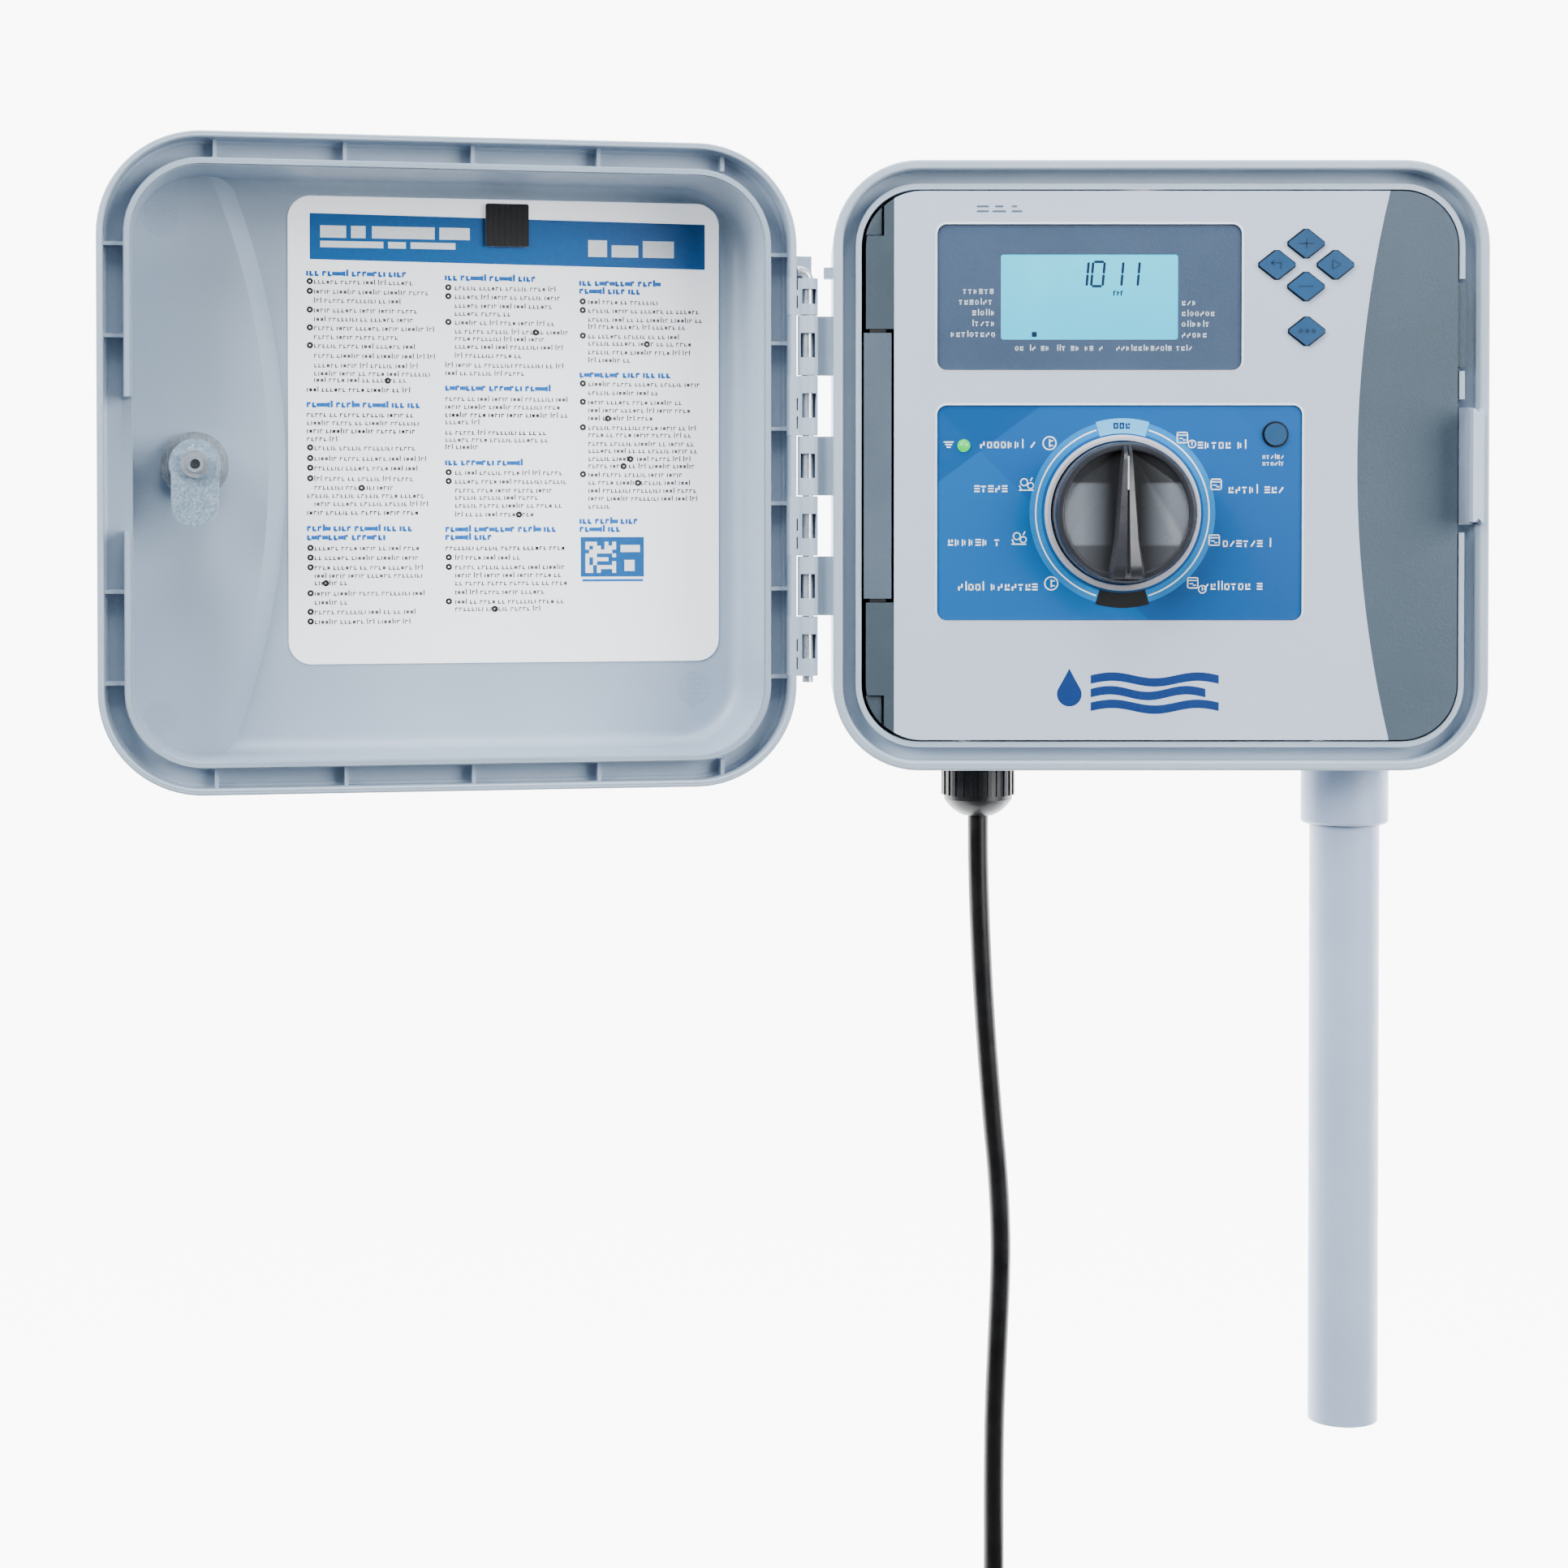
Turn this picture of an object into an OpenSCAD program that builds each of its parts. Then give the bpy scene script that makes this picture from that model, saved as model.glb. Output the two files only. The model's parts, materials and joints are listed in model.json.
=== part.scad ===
// Wall-mounted irrigation controller: cabinet, hinged door, swing-out control panel,
// power parts, conduit and mains lead.
// Drawn in stand() coordinates: x right, y up, z out from the wall.

/* [Cabinet] */
// Width of the cabinet
cab_w = 245; // [243:1:247]
// Height of the cabinet
cab_h = 228; // [226:1:230]
// Depth from the wall to the rim
cab_d = 66; // [65:1:67]
// Outer corner radius
cab_r = 32; // [31:1:33]
// Thickness of the walls
wall_t = 3.6; // [3.4:0.1:3.6]

/* [Door] */
// Width of the door over its flange
door_w = 255; // [254:1:256]
// Height of the door over its flange
door_h = 239; // [238:0.5:239.5]
// Distance from the wall to the front of the closed door
door_front = 109; // [108:1:110]
// How far the door stands open at rest, in degrees
door_open = 168.5; // [120:0.5:175]

/* [Hinge] */
// Height of one hinge knuckle
knuckle_h = 22.5; // [22:0.5:22.5]
// Radius of the hinge barrel
barrel_r = 3.8; // [3.6:0.1:3.9]
// Radius of the steel hinge pin
pin_r = 2; // [1.8:0.1:2]

/* [Dial] */
// Radius of the dial knob
knob_r = 26.7; // [26:0.1:27]
// Height of the knob above the panel
knob_h = 20; // [16:1:22]

/* [Keys] */
// Width of a diamond key
key_w = 14.5; // [14:0.1:15]
// Height of a diamond key
key_h = 11.2; // [11:0.1:11.5]

/* [Conduit] */
// Outer radius of the conduit pipe
pipe_r = 13.335; // [13.3:0.005:13.4]
// Inner radius of the conduit pipe
pipe_bore_r = 10.46; // [10:0.01:10.6]

/* [Hidden] */
$fn = 64;
rim_z = cab_d;
panel_z = rim_z - 3;
hinge_x = -132;
hinge_z = 62;
panel_hinge_x = -107.3;
panel_hinge_z = 60;
shelf_z = 53;
lip_in = 10.6;
lip_w = 2.1;
door_r = 37.5;
door_wall_out = 9.5;
door_wall_in = 12.2;
door_t = 2.7;
latch_x = 93;
lever_reach = 22.9;
latch_arc_r = 287;
latch_arc_x = 66 + latch_arc_r;
latch_step = 8;
hinge_bottom = -3.5 * knuckle_h;
knuckle_gap = 0.35;
run_gap = 0.05;
dial_x = -14.2;
dial_y = -17.6;
gland_x = -66;
gland_z = 30;
pipe_x = 75.5;
pipe_z = 30;
pipe_end_y = -368;
socket_r = pipe_r - 0.9;
cab_bottom = -cab_h / 2;
panel_left = -99.7;
panel_half_h = 102.7;
strip_half_h = 50.5;
board_z = 12;
lead_r = 4;
coil_x = -11;
coil_y = -487;
coil_in = 36;
coil_out = 52;
coil_back = 18;
coil_front = 42;
key_places = [[54.2, 83], [43.3, 75.1], [65.2, 75.1], [54.2, 67], [54.5, 50.3]];
lead_route = [
  [-66, -133, 30], [-66, -142, 30], [-65.9, -152, 30], [-65.6, -164, 30], [-65, -180, 30],
  [-64, -200, 29.5], [-62.8, -218, 29], [-61.4, -236, 28.5], [-59.8, -255, 28],
  [-58.2, -272, 27.5], [-57.2, -288, 27], [-56.8, -304, 26.5], [-57.1, -320, 26],
  [-57.8, -338, 25.5], [-58.5, -355, 25], [-59, -372, 24.5], [-59.2, -395, 24],
  [-59.1, -420, 23], [-59, -445, 22.3], [-59, -463, 22]
];
tail_route = [[-59, -487, 46], [-59, -498, 46], [-59.4, -509, 46], [-60, -520, 46]];
plug_x = -60;
plug_y = -520;
plug_z = 46;

module stand() {
  rotate([90, 0, 0]) children();
}

// Turns closed-door coordinates to the open rest position
module door_swing() {
  translate([hinge_x, 0, hinge_z])
    rotate([0, -door_open, 0])
      translate([-hinge_x, 0, -hinge_z])
        children();
}

// Flat rectangle with true round corners
module round_rect(w, h, r) {
  square([w - 2 * r, h], center = true);
  square([w, h - 2 * r], center = true);
  for (sx = [-1, 1], sy = [-1, 1])
    translate([sx * (w / 2 - r), sy * (h / 2 - r)]) circle(r);
}

// Plate with round corners between two distances from the wall
module plate(w, h, r, z0, z1, x = 0, y = 0) {
  translate([x, y, z0]) linear_extrude(z1 - z0) round_rect(w, h, r);
}

module block(x0, x1, y0, y1, z0, z1) {
  translate([x0, y0, z0]) cube([x1 - x0, y1 - y0, z1 - z0]);
}

module rod(r, x, y, z0, z1) {
  translate([x, y, z0]) cylinder(r = r, h = z1 - z0);
}

module ring(r_out, r_in, x, y, z0, z1) {
  difference() {
    rod(r_out, x, y, z0, z1);
    rod(r_in, x, y, z0 - 1, z1 + 1);
  }
}

// Upright cylinder, along y
module post(r, x, z, y0, y1) {
  translate([x, y1, z]) rotate([90, 0, 0]) cylinder(r = r, h = y1 - y0);
}

// Sweeps a wall profile round a rectangle with corners of radius r;
// the profile's x runs outwards from the corner centres
module swept_wall(w, h, r) {
  for (side = [0:3]) {
    across = side % 2 == 0 ? w : h;
    along = side % 2 == 0 ? h : w;
    rotate([0, 0, 90 * side])
      translate([across / 2 - r, along / 2 - r, 0]) {
        rotate([90, 0, 0]) linear_extrude(along - 2 * r) children();
        rotate_extrude(angle = 90) children();
      }
  }
}

module cabinet_profile() {
  r = cab_r;
  back_r = 7;
  difference() {
    union() {
      square([r - back_r, rim_z - 4]);
      translate([0, back_r]) square([r, rim_z - 1 - back_r]);
      translate([r - back_r, back_r]) circle(back_r);
      translate([r - wall_t + 1, rim_z - 2]) square([wall_t - 2, 2]);
      translate([r - wall_t + 1, rim_z - 1]) circle(1, $fn = 24);
      translate([r - 1, rim_z - 1]) circle(1, $fn = 24);
    }
    translate([-1, 3]) square([r - wall_t - 3 + 1, shelf_z - 3]);
    translate([-1, 6.4]) square([r - wall_t + 1, shelf_z - 6.4]);
    translate([r - wall_t - 3.4, 6.4]) circle(3.4, $fn = 24);
    translate([-1, 3]) square([r - lip_in + 1, rim_z]);
    translate([r - lip_in + lip_w, shelf_z + 3]) square([lip_in - lip_w - wall_t, rim_z]);
    translate([-1, rim_z - 4]) square([r - wall_t + 1, 5]);
  }
}

module keyhole(x, y) {
  rod(4.5, x, y, -1, 4);
  rod(2.4, x, y + 8, -1, 4);
  block(x - 2.4, x + 2.4, y, y + 8, -1, 4);
}

module cabinet_shell() {
  color("#b4bfca") stand() {
    difference() {
      union() {
        swept_wall(cab_w, cab_h, cab_r) cabinet_profile();
        block(-cab_w / 2 + cab_r, cab_w / 2 - cab_r, -cab_h / 2 + cab_r, cab_h / 2 - cab_r, 0, 3);
        for (k = [0:2]) cabinet_knuckle(hinge_bottom + knuckle_h * (2 * k + 1));
        block(-126, -cab_w / 2 + 1, 70.3, 74.5, 53, 58.8);
        for (p = [[-88, 62], [88, 62], [30, -8], [-25, -8]]) rod(3.2, p[0], p[1], 2, 9);
      }
      keyhole(0, 88);
      for (sx = [-1, 1]) rod(2.6, sx * 70, -96, -1, 4);
      post(12.1, gland_x, gland_z, cab_bottom - 1, cab_bottom + 5);
      post(14, pipe_x, pipe_z, cab_bottom - 1, cab_bottom + 5);
      block(110, 115.6, -25, 25, shelf_z + 3, rim_z);
      block(110, 115.6, 35.5, 70, shelf_z + 3, rim_z);
      for (p = [[30, -8], [-25, -8]]) rod(1.3, p[0], p[1], 4, 10);
    }
  }
}

// One cabinet knuckle with its plate, open at the front over the middle
module cabinet_knuckle(y0) {
  lo = y0 + knuckle_gap / 2;
  hi = y0 + knuckle_h - knuckle_gap / 2;
  difference() {
    union() {
      post(barrel_r, hinge_x, hinge_z, lo, hi);
      block(hinge_x, -cab_w / 2 + 1, lo, hi, 55.5, hinge_z - 2.6);
    }
    post(pin_r + run_gap, hinge_x, hinge_z, lo - 1, hi + 1);
    block(hinge_x - 2.7, hinge_x + 2.7, lo + 6.5, hi - 6.5, hinge_z - 1.6, hinge_z + 6);
  }
}

module strike_catch() {
  color("#c5ced8") stand() {
    block(112.6, 117.9, -22, 22, shelf_z + 3, 58.5);
    block(116.4, 117.9, -21, 21, 58, 75);
    difference() {
      block(113.9, 117.9, -21, 21, 74.9, 76.6);
      for (s = [-1, 1]) translate([115.9, s * 21, 70]) rotate([0, 0, 45]) cube([2, 2, 20], center = true);
    }
  }
}

module panel_hinge_strip() {
  color("#b9c4cf") stand() {
    difference() {
      union() {
        block(-111, -100.7, -strip_half_h + 0.8, strip_half_h - 0.8, 57, panel_z);
        block(-111, -109.4, -46, 46, shelf_z - 8, 57.5);
        block(-113, -109, -46, 46, shelf_z - 8, shelf_z);
      }
      for (s = [-1, 1]) post(1.5, panel_hinge_x, panel_hinge_z, s > 0 ? 40 : -60, s > 0 ? 60 : -40);
    }
  }
}

module hinge_clips() {
  color("#16181a") stand() {
    for (s = [-1, 1]) mirror([0, s > 0 ? 0 : 1, 0]) {
      post(1.5, panel_hinge_x, panel_hinge_z, 40.2, 58);
      block(-108.8, -102.8, 49.8, 51.0, 59.2, panel_z - 0.2);
    }
  }
}

module transformer() {
  color("#5a5f63") stand() {
    block(-96, -92, -92, -40, 3, 6);
    block(-44, -40, -92, -40, 3, 6);
    block(-92, -44, -92, -40, 3, 18);
    block(-84, -52, -92, -40, 18, 37);
    block(-92, -44, -84, -48, 18, 30);
  }
}

module transformer_screws() {
  color("#c8cdd2") stand() {
    for (x = [-94, -42], y = [-80, -52]) {
      rod(1.8, x, y, 6, 8);
    }
  }
}

module wiring_cover() {
  color("#8c98a4") stand() {
    difference() {
      block(-36, 32, -100, -58, 3, 30);
      block(-34.4, 30.4, -98.4, -59.6, 2, 28.4);
    }
  }
}

module earth_lug() {
  color("#c8a24a") stand() {
    block(-22, -8, -82, -74, 3, 6);
    rod(3, -15, -78, 6, 11);
  }
}

module terminal_board() {
  color("#2d6b3f") stand() {
    plate(74, 34, 2, board_z, board_z + 1.6, 70, -80);
  }
}

module terminal_block() {
  color("#2f3438") stand() {
    for (k = [0:7]) block(38 + 8 * k, 45.6 + 8 * k, -90, -76, board_z + 1.6, board_z + 12);
  }
}

module terminal_screws() {
  color("#c8cdd2") stand() {
    for (k = [0:7]) rod(2.2, 41.8 + 8 * k, -83, board_z + 12, board_z + 13.2);
  }
}

module base_module() {
  color("#3d4a55") stand() {
    difference() {
      plate(186, 62, 4, 9, 15, 2.5, 20);
      for (p = [[30, -8], [-25, -8]]) rod(1.9, p[0], p[1], 8, 16);
    }
    block(-88, -70, -6, 44, 15, 26);
  }
}

module station_modules() {
  color("#4d5a66") stand() {
    for (k = [0:3]) {
      difference() {
        block(-60 + 38 * k, -25 + 38 * k, -4, 46, 15, 33);
        for (s = [0:3]) rod(2.1, -55 + 38 * k + 8.3 * s, 2, 29, 34);
      }
    }
  }
}

module board_screws() {
  color("#c8cdd2") stand() {
    for (p = [[30, -8], [-25, -8]]) {
      rod(1.3, p[0], p[1], 4, 15);
      rod(3.4, p[0], p[1], 15, 17);
    }
  }
}

// Sliding bar that locks the plug-in modules
module module_lock() {
  color("#c4472f") stand() {
    block(-56, 84, 48, 54, 15.4, 19);
    block(10, 24, 48, 54, 19, 24);
  }
}

module gland_body() {
  color("#1c1e22") stand() {
    translate([gland_x, 0, gland_z]) rotate([90, 0, 0]) translate([0, 0, -cab_bottom]) {
      difference() {
        union() {
          cylinder(r = 13.6, h = 12);
          for (k = [0:23]) rotate([0, 0, 15 * k]) translate([13.2, -0.7, 0]) cube([0.9, 1.4, 12]);
          translate([0, 0, -11]) cylinder(r = 12, h = 11.5);
        }
        translate([0, 0, -12]) cylinder(r = 6, h = 30);
      }
    }
  }
}

module gland_seal() {
  color("#33363a") stand() {
    difference() {
      post(5.9, gland_x, gland_z, cab_bottom - 19, cab_bottom - 1);
      post(lead_r, gland_x, gland_z, cab_bottom - 20, cab_bottom);
    }
  }
}

module gland_nut() {
  color("#121316") stand() {
    translate([gland_x, cab_bottom - 12, gland_z]) rotate([90, 0, 0]) difference() {
      union() {
        cylinder(r = 13.1, h = 1);
        intersection() {
          cylinder(r = 13.1, h = 8);
          translate([0, 0, -6]) sphere(15.2, $fn = 64);
        }
      }
      translate([0, 0, -1]) cylinder(r = 6, h = 12);
    }
  }
}

module gland_locknut() {
  color("#1c1e22") stand() {
    translate([gland_x, cab_bottom + wall_t + 4, gland_z]) rotate([90, 0, 0]) difference() {
      cylinder(r = 16, h = 4, $fn = 6);
      translate([0, 0, -1]) cylinder(r = 12, h = 8);
    }
  }
}

module conduit_adapter() {
  color("#b3bfd1") stand() {
    translate([pipe_x, cab_bottom, pipe_z]) rotate([90, 0, 0]) difference() {
      union() {
        cylinder(r = 16.7, h = 22);
        translate([0, 0, 22]) cylinder(r1 = 16.7, r2 = 15.7, h = 1);
        translate([0, 0, -11]) cylinder(r = 13.9, h = 11.5);
      }
      translate([0, 0, 4]) cylinder(r = socket_r, h = 20);
      translate([0, 0, -12]) cylinder(r = pipe_bore_r + 0.6, h = 17);
    }
  }
}

module conduit_locknut() {
  color("#c8cdd2") stand() {
    translate([pipe_x, cab_bottom + wall_t + 4, pipe_z]) rotate([90, 0, 0]) difference() {
      union() {
        cylinder(r = 15.8, h = 4);
        for (k = [0:7]) rotate([0, 0, 45 * k]) translate([14.6, -2, 0]) cube([3, 4, 4]);
      }
      translate([0, 0, -1]) cylinder(r = 13.9, h = 8);
    }
  }
}

module conduit_pipe() {
  color("#b3bfd1") stand() {
    difference() {
      union() {
        post(pipe_r, pipe_x, pipe_z, pipe_end_y, cab_bottom - 23.5);
        post(socket_r, pipe_x, pipe_z, cab_bottom - 24, cab_bottom - 4);
      }
      post(pipe_bore_r, pipe_x, pipe_z, pipe_end_y - 1, cab_bottom);
    }
  }
}

// Straight tube swept along a route, closed at both ends
function unit(v) = v / norm(v);
function heading(route, i) =
  unit(route[min(i + 1, len(route) - 1)] - route[max(i - 1, 0)]);

module tube(route, r, sides = 10) {
  last = len(route) - 1;
  points = [
    for (i = [0:last])
      let (t = heading(route, i), u = unit(cross(t, [0, 0, 1])), v = cross(t, u))
        for (k = [0:sides - 1])
          route[i] + r * (cos(360 * k / sides) * u + sin(360 * k / sides) * v)
  ];
  walls = [
    for (i = [0:last - 1], k = [0:sides - 1])
      let (a = i * sides + k, b = i * sides + (k + 1) % sides)
        [a, a + sides, b + sides, b]
  ];
  start_cap = [for (k = [0:sides - 1]) k];
  end_cap = [for (k = [sides - 1:-1:0]) last * sides + k];
  polyhedron(points = points, faces = concat(walls, [start_cap, end_cap]));
}

module power_cord() {
  color("#17181b") stand() tube(lead_route, lead_r);
}

module cord_tail() {
  color("#17181b") stand() tube(tail_route, lead_r);
}

module cord_coil() {
  edge = 4;
  color("#17181b") stand() translate([coil_x, coil_y, 0]) rotate_extrude() {
    translate([coil_in + edge, coil_back]) square([coil_out - coil_in - 2 * edge, coil_front - coil_back]);
    translate([coil_in, coil_back + edge]) square([coil_out - coil_in, coil_front - coil_back - 2 * edge]);
    for (x = [coil_in + edge, coil_out - edge], z = [coil_back + edge, coil_front - edge])
      translate([x, z]) circle(edge, $fn = 24);
  }
}

module cord_tie() {
  color("#2a2c30") stand() translate([coil_x, coil_y, 0]) difference() {
    block(-5, 5, coil_in - 1.8, coil_out + 1.4, coil_back - 1.4, coil_front + 1.4);
    block(-6, 6, coil_in - 0.5, coil_out + 0.1, coil_back - 0.1, coil_front + 0.1);
  }
}

module plug_body() {
  color("#17181b") stand() translate([plug_x, plug_y, plug_z]) rotate([90, 0, 0]) {
    cylinder(r1 = 5.2, r2 = 7.5, h = 25);
    translate([0, 0, 25]) linear_extrude(34) round_rect(26, 22, 7);
  }
}

module plug_blades() {
  color("#c9b98a") stand() translate([plug_x, plug_y - 59, plug_z]) {
    for (s = [-1, 1]) block(s * 6.35 - 0.75, s * 6.35 + 0.75, -17, 0, 0.4, 6.7);
    post(2.4, 0, -6, -20, 0);
  }
}

// Outline of the whole control panel
module panel_outline() {
  translate([0.5, 0]) round_rect(221.4, 2 * panel_half_h, 21);
}

// Region of the dark side cover, right of a shallow arc
module side_region(gap = 0) {
  translate([515.6, 0]) circle(442 - gap, $fn = 400);
}

// Rounded diamond
function arc(cx, cy, r, from, to) =
  [for (k = [0:5]) let (a = from + (to - from) * k / 5) [cx + r * cos(a), cy + r * sin(a)]];
function diamond(w, h, r) =
  let (a = atan(h / w), x = w / 2 - r / sin(a), y = h / 2 - r / cos(a))
    concat(arc(x, 0, r, a - 90, 90 - a), arc(0, y, r, 90 - a, 90 + a),
           arc(-x, 0, r, 90 + a, 270 - a), arc(0, -y, r, 270 - a, 270 + a));

module key_prism(grow, z0, z1) {
  translate([0, 0, z0]) linear_extrude(z1 - z0)
    polygon(diamond(key_w + 2.6 * grow, key_h + 2 * grow, 1 + grow / 2));
}

module panel_bezel() {
  color("#c8cfda") stand() difference() {
    translate([0, 0, panel_z - 3]) linear_extrude(3) difference() {
      intersection() {
        panel_outline();
        translate([panel_left, -110]) square([200, 220]);
      }
      side_region();
    }
    plate(113.9, 54.5, 3.6, panel_z - 2, panel_z + 1, -26.65, 63.05);
    plate(66.4, 31.8, 1, panel_z - 4, panel_z + 1, -26.5, 63.2);
    plate(136.6, 80.6, 3.6, panel_z - 2, panel_z + 1, -15.3, -17.6);
    rod(3.6, dial_x, dial_y, panel_z - 4, panel_z + 1);
    rod(4.5, 43, 11.8, panel_z - 4, panel_z + 1);
    rod(2.4, -73.6, 7.6, panel_z - 4, panel_z + 1);
    for (p = key_places) translate([p[0], p[1], 0]) key_prism(0.35, panel_z - 4, panel_z + 1);
  }
}

module side_cover() {
  color("#5f6f7d") stand() {
    translate([0, 0, panel_z - 3]) linear_extrude(2.8) intersection() {
      panel_outline();
      side_region();
      translate([60, -110]) square([60, 220]);
    }
    block(110.6, 114.6, 37, 68.5, panel_z - 3, panel_z - 1.2);
  }
}

module panel_wings() {
  color("#7b8d9c") stand() difference() {
    translate([0, 0, panel_z - 6]) linear_extrude(5.7) intersection() {
      panel_outline();
      translate([-112, -110]) square([112 + panel_left, 220]);
    }
    block(-113, -99, -strip_half_h - 0.7, strip_half_h + 0.7, 50, 70);
    for (s = [-1, 1]) block(-113, -103.4, s > 0 ? 86 : -110, s > 0 ? 110 : -86, 50, 70);
    for (s = [-1, 1])
      post(1.5 + run_gap, panel_hinge_x, panel_hinge_z, s > 0 ? 50 : -58.4, s > 0 ? 58.4 : -50);
  }
}

module panel_back() {
  color("#97a3af") stand() {
    difference() {
      plate(200, 194, 6, 42, panel_z - 3, 3, 0);
      difference() {
        plate(196, 190, 4, 44, panel_z - 2, 3, 0);
        side_region(-3);
      }
      difference() {
        plate(196, 190, 4, 44, panel_z - 4, 3, 0);
        block(-120, 70, -100, 100, 0, 70);
      }
      for (x = [-88, -10, 92], y = [-88, 88]) rod(1.4, x, y, 41, 44.5);
      block(-60, -20, -4, 4, 41, 45);
    }
    for (x = [-88, -10], y = [-88, 88]) ring(3.6, 1.4, x, y, 43.5, panel_z - 3);
  }
}

module main_board() {
  color("#1f6b45") stand() difference() {
    plate(158, 168, 3, 48.4, 50, -8, 0);
    for (x = [-88, -10], y = [-88, 88]) rod(4, x, y, 40, 60);
  }
}

module lcd_module() {
  color("#76e3f7") stand() {
    plate(76, 40, 1, 50, 58, -26.5, 63.2);
    plate(66, 31.4, 0.9, 58, 61.6, -26.5, 63.2);
  }
}

module display_bezel() {
  color("#6f8396") stand() difference() {
    plate(113.5, 54.1, 3.5, panel_z - 2, panel_z - 0.6, -26.65, 63.05);
    plate(66.4, 31.8, 1, panel_z - 4, panel_z + 1, -26.5, 63.2);
  }
}

module dial_label() {
  color("#0078c0") stand() difference() {
    plate(136.2, 80.2, 3.5, panel_z - 2, panel_z - 0.4, -15.3, -17.6);
    rod(3.6, dial_x, dial_y, panel_z - 4, panel_z + 1);
    rod(4.5, 43, 11.8, panel_z - 4, panel_z + 1);
    rod(2.4, -73.6, 7.6, panel_z - 4, panel_z + 1);
  }
}

module dial_ring() {
  color("#c9cdd3") stand() difference() {
    union() {
      rod(29.2, dial_x, dial_y, panel_z - 0.4, panel_z + 1.2);
      translate([dial_x, dial_y, panel_z + 1.2]) cylinder(r1 = 29.2, r2 = 28.2, h = 1);
    }
    rod(27.1, dial_x, dial_y, panel_z - 1, panel_z + 3);
  }
}

module status_led() {
  color("#6cf58c") stand() {
    rod(2.35, -73.6, 7.6, 50, panel_z - 0.2);
    difference() {
      translate([-73.6, 7.6, panel_z - 1.4]) sphere(2.6, $fn = 32);
      block(-80, -65, 0, 15, 50, panel_z - 0.2);
    }
  }
}

module rotary_switch() {
  color("#2f3438") stand() difference() {
    plate(22, 22, 2, 50, 59, dial_x, dial_y);
    rod(3 + run_gap, dial_x, dial_y, 52, 60);
  }
}

module keypad_mat() {
  color("#3a3f45") stand() {
    plate(42, 52, 3, 50, 52, 54.4, 67);
    for (p = key_places) rod(3, p[0], p[1], 51, 55.4);
    rod(5, 43, 11.8, 50, 55.4);
  }
}

module backup_battery() {
  color("#c8cdd2") stand() {
    rod(10, -60, -75, 51, 54.2);
    ring(12, 10, -60, -75, 50, 53);
  }
}

module panel_screws() {
  color("#c8cdd2") stand() for (x = [-88, -10], y = [-88, 88]) {
    rod(1.4, x, y, 41, 57);
    rod(3, x, y, 40, 42);
  }
}

module dial_knob() {
  color("#2b2d31") stand() translate([dial_x, dial_y, panel_z]) {
    difference() {
      union() {
        cylinder(r = knob_r, h = 4);
        translate([0, 0, 4]) cylinder(r1 = knob_r, r2 = knob_r - 1, h = 1);
        translate([0, 0, 5]) cylinder(r = knob_r - 3, h = knob_h - 7);
      }
      for (s = [-1, 1]) translate([s * (knob_h + 6.4), 0, knob_h + 4])
        rotate([90, 0, 0]) cylinder(r = knob_h + 1.4, h = 70, center = true);
    }
    linear_extrude(knob_h)
      polygon([[-1.6, 25.4], [1.6, 25.4], [2.6, 4], [3.6, -8], [5.2, -24.4], [-5.2, -24.4],
                                     [-3.6, -8], [-2.6, 4]]);
    translate([0, 0, -9]) cylinder(r = 3, h = 10);
  }
}

// A key that stands through the panel, with a flange behind it
module key(i) {
  color("#0c72a6") stand() translate([key_places[i][0], key_places[i][1], 0]) {
    key_prism(0, 58, panel_z + 1.4);
    key_prism(0.9, 58, 59.4);
  }
}

module key_up() {
  key(0);
}

module key_left() {
  key(1);
}

module key_right() {
  key(2);
}

module key_down() {
  key(3);
}

module key_program() {
  key(4);
}

module start_button() {
  color("#0c72a6") stand() {
    rod(4.15, 43, 11.8, 58, panel_z + 0.8);
    rod(5.2, 43, 11.8, 58, 59.4);
  }
}

module door_profile() {
  r = door_r;
  body = r - door_wall_out;
  inner = r - door_wall_in;
  f = 8.5;
  difference() {
    union() {
      translate([0, 62]) square([body, door_front - f - 62]);
      translate([0, door_front - f]) square([body - f, f]);
      translate([body - f, door_front - f]) circle(f);
      translate([body - 1, 71.6]) square([r - body - 1, 3]);
      translate([r - 2.4, 60.8]) square([2.4, 11.8]);
      translate([r - 1.6, 60.8]) circle(0.8, $fn = 24);
      translate([r - 0.8, 60.8]) circle(0.8, $fn = 24);
      translate([r - 2, 72.6]) circle(2, $fn = 24);
    }
    translate([-1, 61]) square([inner + 1, door_front - f - 61]);
    translate([-1, door_front - f - 1]) square([body - f + 1, f + 1 - door_t]);
    translate([body - f, door_front - f]) circle(f - door_t);
  }
}

// Sloped step round the latch end; r_top is its radius at the height nearest the wall
module latch_frustum(z, r_top) {
  translate([latch_arc_x, 0, z]) cylinder(r1 = r_top, r2 = r_top + 6.5, h = latch_step, $fn = 360);
}

module door_rib(x0, x1, y0, y1) {
  block(x0, x1, y0, y1, 66, 72);
}

module door_lug(k) {
  lo = hinge_bottom + knuckle_h * 2 * k + knuckle_gap / 2;
  hi = lo + knuckle_h - knuckle_gap;
  top = k == 3 ? 70 : hi;
  difference() {
    union() {
      post(barrel_r, hinge_x, hinge_z, lo, top);
      block(hinge_x, hinge_x + 7.2, lo, top, 60.2, hinge_z + 4.5);
      if (k == 3) block(hinge_x - 2, hinge_x + 5, top - 1, hi, hinge_z + 2.6, hinge_z + 4.5);
    }
    post(pin_r + run_gap, hinge_x, hinge_z, lo - 1, hi + 1);
    block(hinge_x - 2.7, hinge_x + 2.7, lo + (k == 3 ? 4 : 6.5), top - (k == 3 ? 4 : 6.5), 56, hinge_z + 1.6);
    for (y = [lo + 2.4, lo + 9.2]) block(hinge_x + 4.1, hinge_x + 6.3, y, y + 4.6, 59, 63.4);
  }
}

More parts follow.
